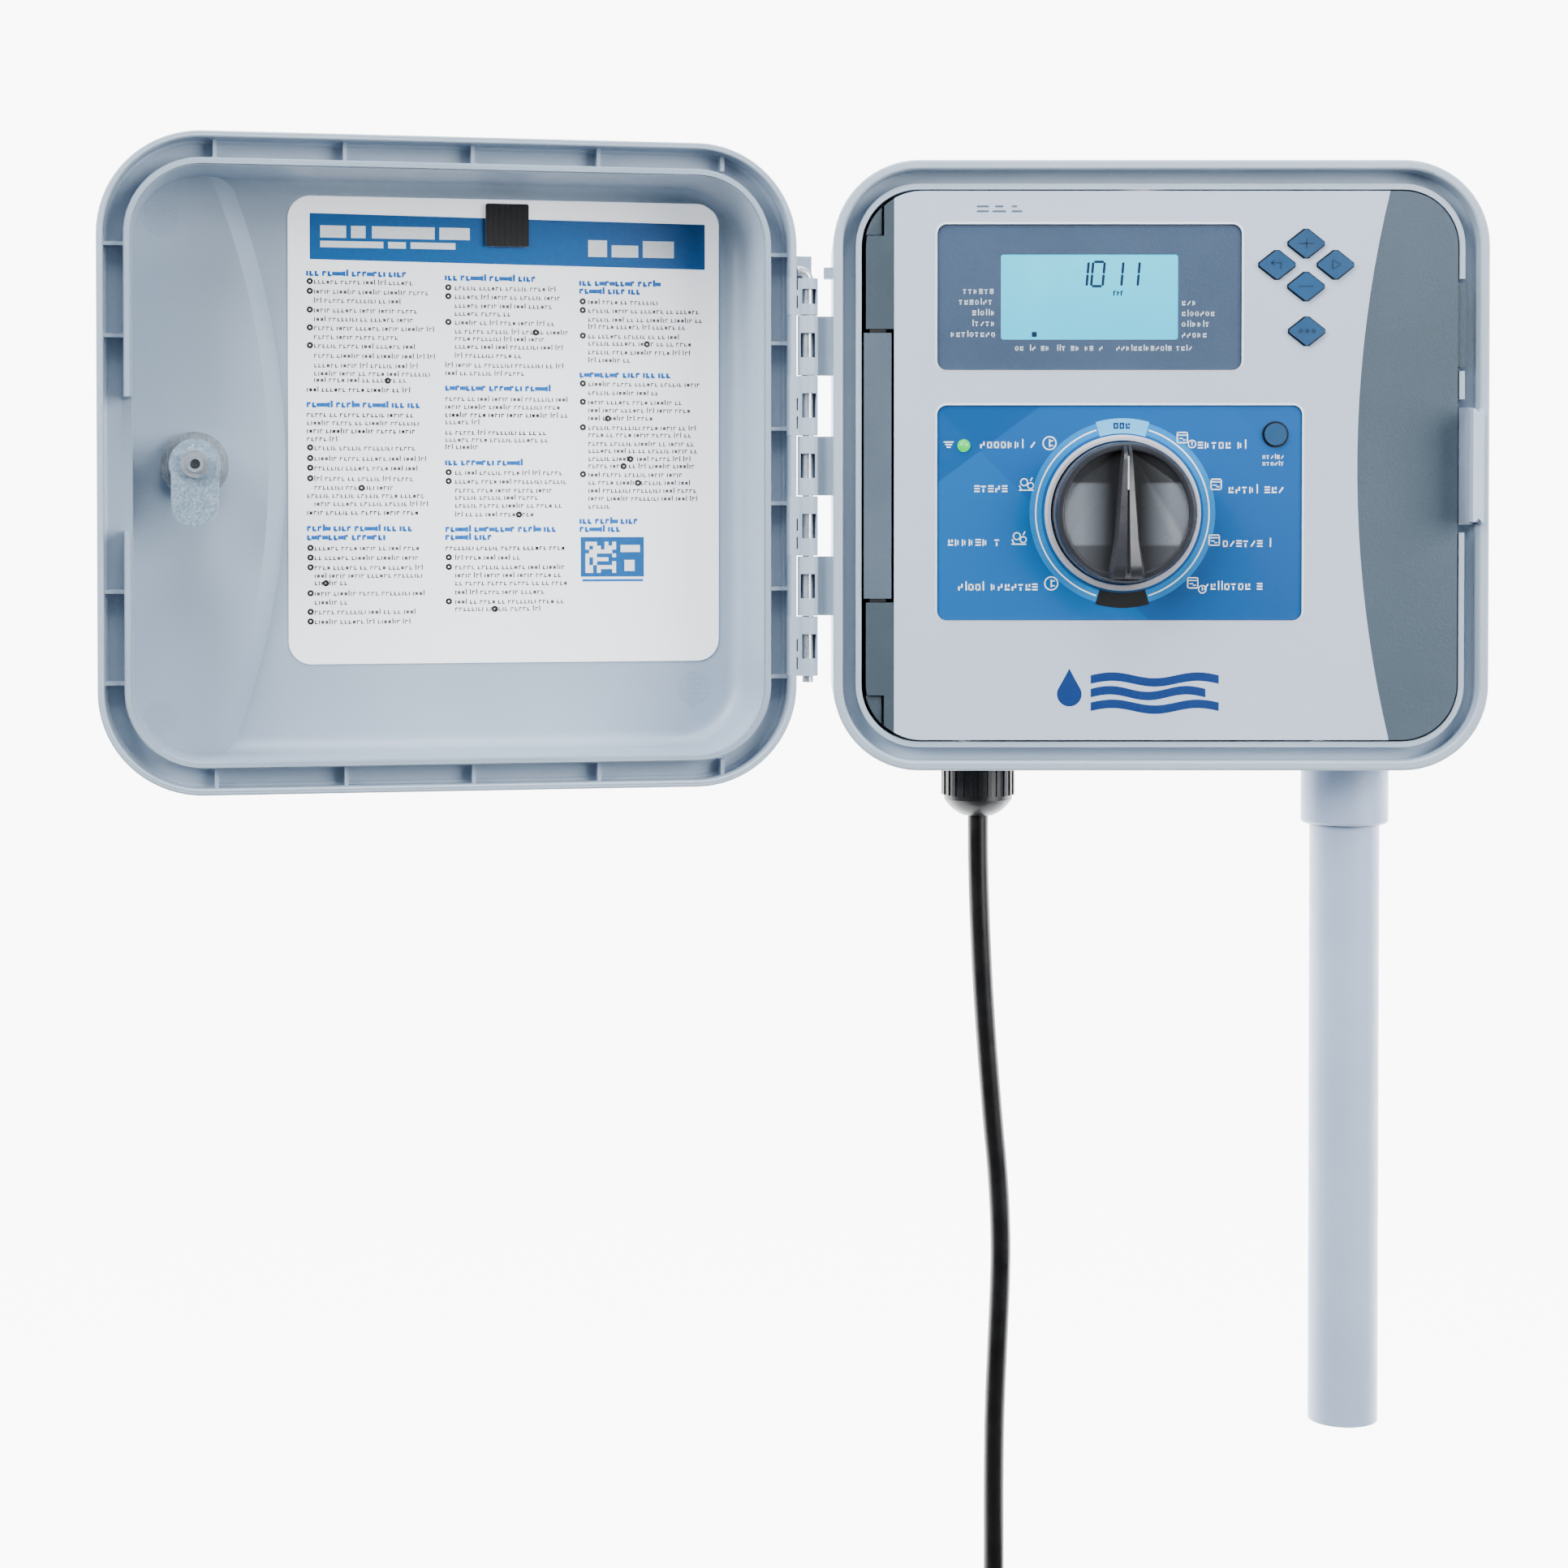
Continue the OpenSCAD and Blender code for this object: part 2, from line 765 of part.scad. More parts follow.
module door_shell() {
  half_w = door_w / 2;
  half_h = door_h / 2;
  color("#b4bfca") stand() door_swing() {
    difference() {
      union() {
        swept_wall(door_w, door_h, door_r) door_profile();
        block(-half_w + door_r, half_w - door_r, -half_h + door_r, half_h - door_r,
              door_front - door_t, door_front);
        block(117, 121.8, -26.6, 26.6, 72, 80.6);
        intersection() {
          latch_frustum(door_front - door_t - latch_step, latch_arc_r);
          plate(door_w - 2 * door_wall_in + 1, door_h - 2 * door_wall_in + 1, door_r - door_wall_in,
                90, door_front - door_t + 0.1);
        }
      }
      latch_frustum(door_front - latch_step, latch_arc_r - 1.4);
      translate([latch_arc_x, 0, door_front - 0.1]) cylinder(r = latch_arc_r + 5.1, h = 2, $fn = 360);
      rod(9.6, latch_x, 0, 90, 110);
      block(113, 119.2, -24, 24, 60, 78);
    }
    for (k = [0:4], s = [-1, 1])
      door_rib(85 - 46.5 * k, 86.4 - 46.5 * k, s > 0 ? 109.8 : -117.3, s > 0 ? 117.3 : -109.8);
    for (y = [79, 46, 14, -14, -46, -79]) {
      door_rib(-125.3, -117.8, y - 0.7, y + 0.7);
      if (abs(y) > 20) door_rib(117.8, 125.3, y - 0.7, y + 0.7);
    }
    for (k = [0:3]) door_lug(k);
  }
}

module door_gasket() {
  r = door_r;
  color("#3c4146") stand() door_swing() difference() {
    swept_wall(door_w, door_h, door_r) translate([r - 11.7, 60.8]) square([1.7, 1.2]);
    block(113, 119.2, -24, 24, 60, 78);
  }
}

module hinge_pin() {
  bend = 3.2;
  bend_y = 69.5;
  color("#d5d9dd") stand() door_swing() {
    post(pin_r, hinge_x, hinge_z, -81, bend_y);
    translate([hinge_x + bend, bend_y, hinge_z]) rotate([0, 0, 90])
      rotate_extrude(angle = 90) translate([bend, 0]) circle(pin_r, $fn = 32);
    translate([hinge_x + bend, bend_y + bend, hinge_z]) rotate([0, 90, 0]) cylinder(r = pin_r, h = 1.1);
  }
}

module instruction_card() {
  color("#f2f4f6") stand() door_swing()
    plate(164.5, 176.4, 8.5, door_front - door_t - 0.5, door_front - door_t, -23.75, 13.5);
}

module card_patch() {
  color("#0d0d0f") stand() door_swing()
    plate(16.4, 16.2, 0.8, door_front - door_t - 2.3, door_front - door_t - 0.5, -24, 92);
}

module lock_body() {
  color("#c3c8cd") stand() door_swing() difference() {
    union() {
      rod(9.5, latch_x, 0, 77, 101.5);
      rod(11.5, latch_x, 0, door_front - latch_step, door_front - latch_step + 2.5);
    }
    rod(5.5 + run_gap, latch_x, 0, 76, 110);
  }
}

module lock_nut() {
  color("#aeb4ba") stand() door_swing()
    ring(12.4, 9.55, latch_x, 0, door_front - door_t - latch_step - 5, door_front - door_t - latch_step);
}

module lock_plug() {
  color("#d0d4d8") stand() door_swing() difference() {
    rod(5.5, latch_x, 0, 74.2, 103);
    block(latch_x - 0.6, latch_x + 0.6, -3.5, 3.5, 100, 104);
  }
}

module cam_lever() {
  half = 8.6;
  color("#b9c2cb") stand() door_swing() difference() {
    union() {
      rod(9.3, latch_x, 0, 72, 74.2);
      block(latch_x - half, latch_x + half, half - lever_reach, 0, 72, 74.2);
      rod(half, latch_x, half - lever_reach, 72, 74.2);
    }
    rod(3, latch_x, 0, 71, 75);
  }
}

module cam_nut() {
  color("#e3e6e9") stand() door_swing() {
    ring(5, 3, latch_x, 0, 69.4, 72);
    ring(3, 1.8, latch_x, 0, 68, 74.2);
  }
}

cabinet_shell();
strike_catch();
panel_hinge_strip();
hinge_clips();
transformer();
transformer_screws();
wiring_cover();
earth_lug();
terminal_board();
terminal_block();
terminal_screws();
base_module();
station_modules();
board_screws();
module_lock();
gland_body();
gland_seal();
gland_nut();
gland_locknut();
conduit_adapter();
conduit_locknut();
conduit_pipe();
power_cord();
cord_coil();
cord_tail();
cord_tie();
plug_body();
plug_blades();
panel_bezel();
side_cover();
panel_wings();
panel_back();
main_board();
lcd_module();
display_bezel();
dial_label();
dial_ring();
status_led();
rotary_switch();
keypad_mat();
backup_battery();
panel_screws();
dial_knob();
key_up();
key_left();
key_right();
key_down();
key_program();
start_button();
door_shell();
door_gasket();
hinge_pin();
instruction_card();
card_patch();
lock_body();
lock_nut();
lock_plug();
cam_lever();
cam_nut();
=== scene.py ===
import json
import math
import random

import bpy
from mathutils import Matrix, Vector


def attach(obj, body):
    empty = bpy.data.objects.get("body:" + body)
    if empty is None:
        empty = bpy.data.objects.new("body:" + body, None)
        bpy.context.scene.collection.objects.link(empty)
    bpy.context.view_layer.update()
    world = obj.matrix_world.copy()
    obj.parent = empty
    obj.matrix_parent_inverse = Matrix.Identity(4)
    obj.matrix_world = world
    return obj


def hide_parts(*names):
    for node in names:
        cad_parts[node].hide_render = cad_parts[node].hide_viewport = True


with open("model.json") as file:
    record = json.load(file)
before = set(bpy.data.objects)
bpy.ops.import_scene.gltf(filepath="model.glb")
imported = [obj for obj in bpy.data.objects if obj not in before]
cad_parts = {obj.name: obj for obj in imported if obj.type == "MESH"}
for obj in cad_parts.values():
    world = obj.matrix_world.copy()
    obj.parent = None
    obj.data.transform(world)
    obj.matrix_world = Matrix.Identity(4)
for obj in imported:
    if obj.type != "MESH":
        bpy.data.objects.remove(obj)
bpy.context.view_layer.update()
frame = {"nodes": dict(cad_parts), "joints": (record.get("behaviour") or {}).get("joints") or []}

print("frame loaded")

# Pieces are modelled flat: x right, y up, z out from the wall, in millimetres.
# stand turns them upright and into metres; openDoor then swings a closed-door piece to its rest place.
doorJoint = next(j for j in frame["joints"] if j["name"] == "door_hinge")
doorPin = Vector(doorJoint["pos_m"])
doorOpen = math.radians(doorJoint["range_deg"][1])
stand = Matrix.Rotation(math.pi / 2, 4, "X") @ Matrix.Scale(0.001, 4)
openDoor = Matrix.Translation(doorPin) @ Matrix.Rotation(-doorOpen, 4, "Z") @ Matrix.Translation(-doorPin)


def clearSelection():
    if bpy.context.object and bpy.context.object.mode != "OBJECT":
        bpy.ops.object.mode_set(mode="OBJECT")
    bpy.ops.object.select_all(action="DESELECT")


def makeActive(piece):
    clearSelection()
    piece.select_set(True)
    bpy.context.view_layer.objects.active = piece


def settle(piece, body, look, replaced=(), onDoor=False, smooth=40):
    # puts a finished piece in its place, in its mesh, and says what it is
    makeActive(piece)
    bpy.ops.object.transform_apply(location=True, rotation=True, scale=True)
    piece.data.transform((openDoor @ stand) if onDoor else stand)
    if smooth:
        bpy.ops.object.shade_smooth_by_angle(angle=math.radians(smooth))
    piece.data.materials.clear()
    piece.data.materials.append(finish[look])
    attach(piece, body)
    if replaced:
        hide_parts(*replaced)
    return piece


def bevelled(piece, width, segments=3, angle=35):
    makeActive(piece)
    bevel = piece.modifiers.new("edges", "BEVEL")
    bevel.width = width
    bevel.segments = segments
    bevel.limit_method = "ANGLE"
    bevel.angle_limit = math.radians(angle)
    bpy.ops.object.modifier_apply(modifier=bevel.name)
    return piece


def joined(name, pieces):
    clearSelection()
    for piece in pieces:
        piece.select_set(True)
    bpy.context.view_layer.objects.active = pieces[0]
    if len(pieces) > 1:
        bpy.ops.object.join()
    pieces[0].name = name
    pieces[0].data.name = name
    return pieces[0]


# camera
cameraSettings = {
    "place": (-0.1409, -1.166, -0.020),
    "lens": 67.64,
    "pitch": -1.0,
    "shift": -0.136,
}
cameraData = bpy.data.cameras.new("camera")
cameraData.lens = cameraSettings["lens"]
cameraData.sensor_width = 36
cameraData.shift_y = cameraSettings["shift"]
cameraData.clip_end = 50
camera = bpy.data.objects.new("camera", cameraData)
camera.location = cameraSettings["place"]
camera.rotation_euler = (math.radians(90 + cameraSettings["pitch"]), 0, 0)
bpy.context.collection.objects.link(camera)
bpy.context.scene.camera = camera
print("camera placed")

# mains lead: from the gland down to a tied coil, then a short tail into the plug
cordSettings = {
    "diameter": 0.008,
    "exit": (-66, -133, 30),
    "coilCentre": (-11, -487),
    "turns": [(48, 22), (40, 22), (40, 30), (40, 38), (48, 38), (48, 46)],
    "stepsPerTurn": 36,
}
leadRoute = [
    (-66, -133, 30), (-66, -142, 30), (-65.9, -152, 30), (-65.6, -164, 30), (-65, -180, 30),
    (-64, -200, 29.5), (-62.8, -218, 29), (-61.4, -236, 28.5), (-59.8, -255, 28),
    (-58.2, -272, 27.5), (-57.2, -288, 27), (-56.8, -304, 26.5), (-57.1, -320, 26),
    (-57.8, -338, 25.5), (-58.5, -355, 25), (-59, -372, 24.5), (-59.2, -395, 24),
    (-59.1, -420, 23), (-59, -445, 22.3), (-59, -463, 22),
]
tailRoute = [(-59, -498, 46), (-59.4, -509, 46), (-60, -521, 46)]


def coilPoint(angle):
    # the turns lie side by side in two layers, and each moves over to its next place near its end
    turn = min(int(angle // 360), 4)
    part = angle / 360 - turn
    early = 1 / 6 if turn == 4 else 0
    ease = min(max((part - 5 / 6 + early) * 6, 0), 1)
    ease = ease * ease * (3 - 2 * ease)
    (r0, z0), (r1, z1) = cordSettings["turns"][turn], cordSettings["turns"][turn + 1]
    radius, out = r0 + (r1 - r0) * ease, z0 + (z1 - z0) * ease
    phi = math.radians(180 + angle)
    cx, cy = cordSettings["coilCentre"]
    return (cx + radius * math.cos(phi), cy + radius * math.sin(phi), out)


def smoothed(points, cuts=3):
    # Catmull-Rom points between the given ones
    out = []
    for i in range(len(points) - 1):
        p = [Vector(points[max(0, min(j, len(points) - 1))]) for j in (i - 1, i, i + 1, i + 2)]
        for k in range(cuts):
            t = k / cuts
            out.append(0.5 * ((2 * p[1]) + (p[2] - p[0]) * t + (2 * p[0] - 5 * p[1] + 4 * p[2] - p[3]) * t * t
                              + (3 * p[1] - p[0] - 3 * p[2] + p[3]) * t ** 3))
    return out + [Vector(points[-1])]


def cordCurve(name, points, radius):
    curve = bpy.data.curves.new(name, "CURVE")
    curve.dimensions = "3D"
    curve.bevel_depth = radius
    curve.bevel_resolution = 5
    curve.use_fill_caps = True
    spline = curve.splines.new("POLY")
    spline.points.add(len(points) - 1)
    for spot, point in zip(spline.points, points):
        spot.co = (*(stand @ Vector(point)), 1)
    spline.use_smooth = True
    piece = bpy.data.objects.new(name, curve)
    bpy.context.collection.objects.link(piece)
    return piece


steps = cordSettings["stepsPerTurn"] * 5
coilRoute = [Vector(coilPoint(1800 * k / steps)) for k in range(steps + 1)]
cordPath = smoothed(leadRoute) + coilRoute + smoothed([coilRoute[-1]] + tailRoute)[1:]
cordLength = sum((a - b).length for a, b in zip(cordPath, cordPath[1:])) / 1000
leadCord = cordCurve("lead_cord", cordPath, cordSettings["diameter"] / 2)
print("mains lead", round(cordLength, 3), "m")


# materials
def linear(code):
    # sRGB hex to a linear colour
    parts = [int(code[i:i + 2], 16) / 255 for i in (1, 3, 5)]
    return (*[c / 12.92 if c <= 0.04045 else ((c + 0.055) / 1.055) ** 2.4 for c in parts], 1)


def addNode(tree, kind, inputs=None, **settings):
    node = tree.nodes.new("ShaderNode" + kind)
    for key, value in settings.items():
        setattr(node, key, value)
    for key, value in (inputs or {}).items():
        if isinstance(value, bpy.types.NodeSocket):
            tree.links.new(value, node.inputs[key])
        else:
            node.inputs[key].default_value = value
    return node


def newFinish(name, rough, metal=0.0, ior=None, coat=0.0, glow=0.0, sheen=0.0):
    # a bare finish: its node tree, its shader and its object coordinates
    material = bpy.data.materials.new(name)
    material.use_nodes = True
    tree = material.node_tree
    shader = tree.nodes["Principled BSDF"]
    for socket, value in (("Roughness", rough), ("Metallic", metal), ("Coat Weight", coat), ("Coat Roughness", 0.1),
                          ("Emission Strength", glow), ("Sheen Weight", sheen)):
        shader.inputs[socket].default_value = value
    if ior:
        shader.inputs["IOR"].default_value = ior
    place = addNode(tree, "TexCoord").outputs["Object"]
    return material, tree, shader, place


def grainNoise(tree, place, sizeMm, detail=3.0, roughness=0.55, distortion=0.0):
    # a noise whose lumps are about sizeMm across
    return addNode(tree, "TexNoise", {"Vector": place, "Scale": 1000 / sizeMm, "Detail": detail,
                                      "Roughness": roughness, "Distortion": distortion}).outputs["Fac"]


def worked(tree, operation, *values):
    return addNode(tree, "Math", dict(enumerate(values)), operation=operation).outputs[0]


def spread(tree, value, low, high, fromLow=0.3, fromHigh=0.7):
    return addNode(tree, "MapRange", {"Value": value, "From Min": fromLow, "From Max": fromHigh,
                                      "To Min": low, "To Max": high}).outputs["Result"]


def blendColour(tree, factor, first, second, blend="MIX"):
    node = addNode(tree, "Mix", data_type="RGBA", blend_type=blend)
    for socket, value in ((node.inputs[0], factor), (node.inputs[6], first), (node.inputs[7], second)):
        if isinstance(value, bpy.types.NodeSocket):
            tree.links.new(value, socket)
        else:
            socket.default_value = value
    return node.outputs[2]


def painted(tree, shader, colour):
    tree.links.new(colour, shader.inputs["Base Color"])


def bumped(tree, shader, height, depthMm, strength=1.0):
    bump = addNode(tree, "Bump", {"Height": height, "Distance": depthMm / 1000, "Strength": strength})
    tree.links.new(bump.outputs["Normal"], shader.inputs["Normal"])


def moulded(name, colour, shade, rough=0.5, grainMm=0.9, grainDepth=0.05, cloudMm=70, roughSpread=0.06,
            ior=1.5, coat=0.0, dust=None):
    # injection-moulded plastic: spark-eroded grain, slow colour drift, and slightly uneven gloss
    material, tree, shader, place = newFinish(name, rough, ior=ior, coat=coat)
    cloud = grainNoise(tree, place, cloudMm, 2)
    grain = grainNoise(tree, place, grainMm, 4, 0.6)
    colourOut = blendColour(tree, spread(tree, cloud, 0, 1), linear(colour), linear(shade))
    speck = spread(tree, grain, 0, 0.16)
    colourOut = blendColour(tree, speck, colourOut, linear(dust or shade))
    painted(tree, shader, colourOut)
    tree.links.new(spread(tree, grainNoise(tree, place, 9, 4), rough - roughSpread, rough + roughSpread),
                   shader.inputs["Roughness"])
    bumped(tree, shader, grain, grainDepth)
    return material


def metalFinish(name, colour, shade, rough, streakMm=(0.4, 0.4, 12), grainMm=3.0, depth=0.01, metal=1.0):
    # rolled or drawn metal: fine streaks along the draw, and cloudy gloss
    material, tree, shader, place = newFinish(name, rough, metal=metal)
    scaled = addNode(tree, "Mapping", {"Vector": place, "Scale": [1000 / s for s in streakMm]}).outputs["Vector"]
    streak = addNode(tree, "TexNoise", {"Vector": scaled, "Scale": 1.0, "Detail": 3.0}).outputs["Fac"]
    cloud = grainNoise(tree, place, grainMm, 3)
    painted(tree, shader, blendColour(tree, spread(tree, cloud, 0, 1), linear(colour), linear(shade)))
    tree.links.new(spread(tree, streak, rough - 0.07, rough + 0.09), shader.inputs["Roughness"])
    bumped(tree, shader, streak, depth)
    return material


def zincSpangle():
    # galvanised sheet: flat crystals of slightly different blue-grey, each with its own gloss
    material, tree, shader, place = newFinish("galvanised_zinc", 0.38, metal=0.4)
    cells = addNode(tree, "TexVoronoi", {"Vector": place, "Scale": 1000 / 0.6, "Randomness": 1.0})
    value = addNode(tree, "SeparateColor", {"Color": cells.outputs["Color"]}).outputs["Red"]
    fine = grainNoise(tree, place, 0.35, 3)
    colour = blendColour(tree, value, linear("#7f97ac"), linear("#a3b8cb"))
    colour = blendColour(tree, spread(tree, fine, 0, 0.35), colour, linear("#6f889e"))
    painted(tree, shader, colour)
    tree.links.new(spread(tree, value, 0.3, 0.5, 0, 1), shader.inputs["Roughness"])
    bumped(tree, shader, fine, 0.03)
    return material


def labelBlue():
    # printed polycarbonate overlay: a deep blue field with broad paler diagonal facets
    material, tree, shader, place = newFinish("printed_polycarbonate", 0.4, ior=1.45)
    axes = addNode(tree, "SeparateXYZ", {"Vector": place}).outputs
    colour = blendColour(tree, spread(tree, axes["Z"], 0, 1, -0.06, 0.03), linear("#004684"), linear("#005296"))
    for slope, offset, tone in ((1.0, -0.062, "#005a9c"), (-1.35, -0.075, "#003a72"), (0.8, 0.045, "#004c8c")):
        line = worked(tree, "MULTIPLY", axes["Z"], slope)
        side = worked(tree, "ADD", axes["X"], line)
        beyond = spread(tree, side, 0, 0.55, offset - 0.0002, offset + 0.0002)
        low = worked(tree, "SUBTRACT", 0.55, beyond)
        colour = blendColour(tree, low if offset < 0 else beyond, colour, linear(tone))
    painted(tree, shader, colour)
    bumped(tree, shader, grainNoise(tree, place, 0.5, 3), 0.02)
    return material


def litDisplay():
    # backlit liquid-crystal glass: glows evenly, a little brighter at the middle, under a clear front
    material, tree, shader, place = newFinish("backlit_glass", 0.2, ior=1.4, glow=2.4)
    axes = addNode(tree, "SeparateXYZ", {"Vector": place}).outputs
    edge = spread(tree, axes["Z"], 0, 1, 0.046, 0.08)
    colour = blendColour(tree, edge, linear("#00bfe6"), linear("#22d2f2"))
    colour = blendColour(tree, spread(tree, grainNoise(tree, place, 14, 2), 0, 0.25), colour, linear("#00aed8"))
    painted(tree, shader, blendColour(tree, 0.94, colour, linear("#031c24")))
    tree.links.new(colour, shader.inputs["Emission Color"])
    return material


def hookTape():
    # woven hook tape: rows of small stiff loops in black nylon
    material, tree, shader, place = newFinish("nylon_hook_tape", 0.85, sheen=0.6)
    rows = addNode(tree, "TexWave", {"Vector": place, "Scale": 1000 / 1.1 / 6.28, "Distortion": 1.5, "Detail": 2.0},
                   bands_direction="X").outputs["Fac"]
    fuzz = grainNoise(tree, place, 0.5, 4)
    mixed = worked(tree, "MULTIPLY", rows, fuzz)
    painted(tree, shader, blendColour(tree, mixed, linear("#020203"), linear("#0c0c0e")))
    bumped(tree, shader, mixed, 0.2)
    return material


def laminatedCardPaintedGlow():
    # coated print stock: near-white, faintly cool, with a soft satin film, and a painted glow: the card emits a
    # little light though it is no lamp
    material, tree, shader, place = newFinish("laminated_card_painted_glow", 0.42, ior=1.49, glow=0.7)
    cloud = grainNoise(tree, place, 60, 2)
    fibre = grainNoise(tree, place, 1.6, 5, 0.7)
    colour = blendColour(tree, spread(tree, cloud, 0, 1), linear("#f4f6f9"), linear("#e9edf2"))
    painted(tree, shader, blendColour(tree, spread(tree, fibre, 0, 0.1), colour, linear("#d8dde4")))
    # the colour of the card's painted glow
    shader.inputs["Emission Color"].default_value = linear("#f6f8fb")
    bumped(tree, shader, cloud, 0.25, 0.5)
    return material


def knobDishPaintedSheen():
    # satin black ABS with a painted sheen: a broad pale highlight is painted on the side facets and fades towards the
    # grip
    material, tree, shader, place = newFinish("satin_abs_painted_sheen", 0.34)
    axes = addNode(tree, "SeparateXYZ", {"Vector": place}).outputs
    sideways = worked(tree, "ADD", axes["X"], 0.0142)
    away = worked(tree, "ABSOLUTE", sideways)
    upwards = worked(tree, "ADD", axes["Z"], 0.0176)
    across = spread(tree, away, 0, 1, 0.005, 0.0165)
    upper = spread(tree, upwards, 1, 0.12, 0.0105, 0.0115)
    lower = spread(tree, upwards, 0.3, 1, -0.0125, -0.0115)
    band = worked(tree, "MULTIPLY", upper, lower)
    # painted sheen mask: the band of the dish where the pale highlight colour is painted
    sheen = worked(tree, "MULTIPLY", band, across)
    grain = grainNoise(tree, place, 0.6, 3)
    # 626870 is the painted highlight colour, laid over the black by the sheen mask
    colour = blendColour(tree, sheen, linear("#15161a"), linear("#626870"))
    painted(tree, shader, blendColour(tree, spread(tree, grain, 0, 0.15), colour, linear("#0d0e10")))
    bumped(tree, shader, grain, 0.02)
    return material


def printInk(name, colour, shade):
    # flat print under the film: solid ink with a slight unevenness
    material, tree, shader, place = newFinish(name, 0.4)
    cloud = grainNoise(tree, place, 1.2, 3)
    painted(tree, shader, blendColour(tree, spread(tree, cloud, 0, 1), linear(colour), linear(shade)))
    return material


def circuitBoard():
    # fibreglass board: green mask over copper tracks that stand a little proud
    material, tree, shader, place = newFinish("solder_mask", 0.32, ior=1.55, coat=0.3)
    tracks = addNode(tree, "TexBrick", {"Vector": addNode(tree, "Mapping", {
        "Vector": place, "Rotation": (math.pi / 2, 0, 0)}).outputs["Vector"], "Scale": 1000 / 8,
        "Mortar Size": 0.05, "Brick Width": 0.9, "Row Height": 0.35}).outputs["Fac"]
    painted(tree, shader, blendColour(tree, tracks, linear("#1a5a38"), linear("#3f8d52")))
    bumped(tree, shader, tracks, 0.04)
    return material


finish = {
    "case": moulded("case_polycarbonate", "#a5b5c6", "#9aabbd", 0.44, 1.0, 0.035, 90, dust="#8b9cae"),
    "door": moulded("door_polycarbonate", "#a2b2c4", "#95a6b9", 0.42, 1.0, 0.035, 90, dust="#8798ab"),
    "panel": moulded("panel_abs", "#b6c3d8", "#aebbd0", 0.5, 0.8, 0.03, 110, dust="#a3b0c4"),
    "slate": moulded("slate_abs", "#3e4e5d", "#364653", 0.55, 1.1, 0.12, 80, dust="#2c3944"),
    "wing": moulded("wing_abs", "#36454f", "#2e3c47", 0.5, 1.1, 0.1, 60, dust="#26333d"),
    "strip": moulded("strip_abs", "#4c5a68", "#43515e", 0.5, 1.1, 0.08, 60, dust="#3a4753"),
    "bezel": moulded("bezel_abs", "#324865", "#2b3f59", 0.55, 1.0, 0.12, 60, dust="#22334a"),
    "black": moulded("black_nylon", "#17191c", "#101214", 0.42, 0.9, 0.04, 30, dust="#24272b"),
    "gland": moulded("gland_nylon", "#101216", "#0a0b0e", 0.33, 0.9, 0.03, 30, dust="#2a2d33"),
    "panelEdge": moulded("panel_edge_abs", "#d3dcea", "#cad5e4", 0.42, 0.8, 0.01, 60),
    "dish": knobDishPaintedSheen(),
    "knob": moulded("knob_abs", "#26282e", "#1f2126", 0.3, 0.7, 0.02, 40, dust="#33363d"),
    "keys": moulded("silicone_keys", "#00426e", "#003a62", 0.5, 0.7, 0.03, 20, dust="#003050"),
    "modules": moulded("module_abs", "#3b4752", "#333e48", 0.5, 1.0, 0.06, 50),
    "lockRed": moulded("lock_abs", "#b8432c", "#a03722", 0.45, 0.9, 0.04, 30),
    "rubber": moulded("epdm_rubber", "#33373b", "#2a2e31", 0.75, 0.8, 0.1, 30),
    "paleRubber": moulded("silicone_gasket", "#93a4b6", "#8596a9", 0.7, 0.8, 0.05, 60),
    "cord": moulded("pvc_jacket", "#08080a", "#050506", 0.34, 1.4, 0.03, 40, ior=1.4, dust="#16161a"),
    "pipe": moulded("pvc_pipe", "#a2b3cf", "#98a9c6", 0.42, 2.2, 0.03, 50, dust="#8c9dba"),
    "steel": metalFinish("drawn_steel", "#c8ced6", "#a9b1ba", 0.24, metal=0.6),
    "chrome": metalFinish("plated_zinc_alloy", "#bcc6d0", "#9aa6b2", 0.22, depth=0.004, metal=0.55),
    "silver": moulded("silver_paint", "#b4b4bc", "#a8a9b2", 0.34, 0.6, 0.01, 20, ior=1.6),
    "brass": metalFinish("milled_brass", "#c9a75a", "#b08f45", 0.3),
    "core": metalFinish("varnished_laminations", "#53575b", "#3f4347", 0.5, (30, 1.0, 30), 20, 0.2),
    "zinc": zincSpangle(),
    "label": labelBlue(),
    "display": litDisplay(),
    "tape": hookTape(),
    "card": laminatedCardPaintedGlow(),
    "board": circuitBoard(),
    "inkBlue": printInk("card_blue_ink", "#005a9e", "#005394"),
    "inkHead": printInk("heading_ink", "#0060b4", "#0066ba"),
    "inkGrey": printInk("text_ink", "#4b5157", "#43494f"),
    "inkDark": printInk("dark_ink", "#16181b", "#121416"),
    "inkWhite": printInk("white_ink", "#f4f8fb", "#e8eff5"),
    "inkSky": printInk("sky_ink", "#007cc4", "#0074ba"),
    "inkPale": printInk("pale_ink", "#5bb8ec", "#50aee6"),
    "inkBlack": printInk("black_ink", "#090b0d", "#0c0e10"),
    "inkSegment": printInk("segment_ink", "#061c40", "#051838"),
    "inkMark": printInk("mark_ink", "#002f6e", "#002a64"),
    "inkName": printInk("name_ink", "#52657a", "#485a6e"),
    "keyInk": printInk("key_ink", "#062f4a", "#05273e"),
    "inkLegend": printInk("legend_ink", "#c9d4df", "#bcc8d4"),
}
# status light: clear green epoxy
glowing, glowTree, glowShader, glowPlace = newFinish("lit_led_lens", 0.2, ior=1.5, glow=1.6)
glowColour = blendColour(glowTree, spread(glowTree, grainNoise(glowTree, glowPlace, 3, 2), 0, 1),
                         linear("#18d848"), linear("#3cec64"))
glowTree.links.new(blendColour(glowTree, 0.9, glowColour, linear("#04300c")), glowShader.inputs["Base Color"])
glowTree.links.new(glowColour, glowShader.inputs["Emission Color"])
finish["led"] = glowing

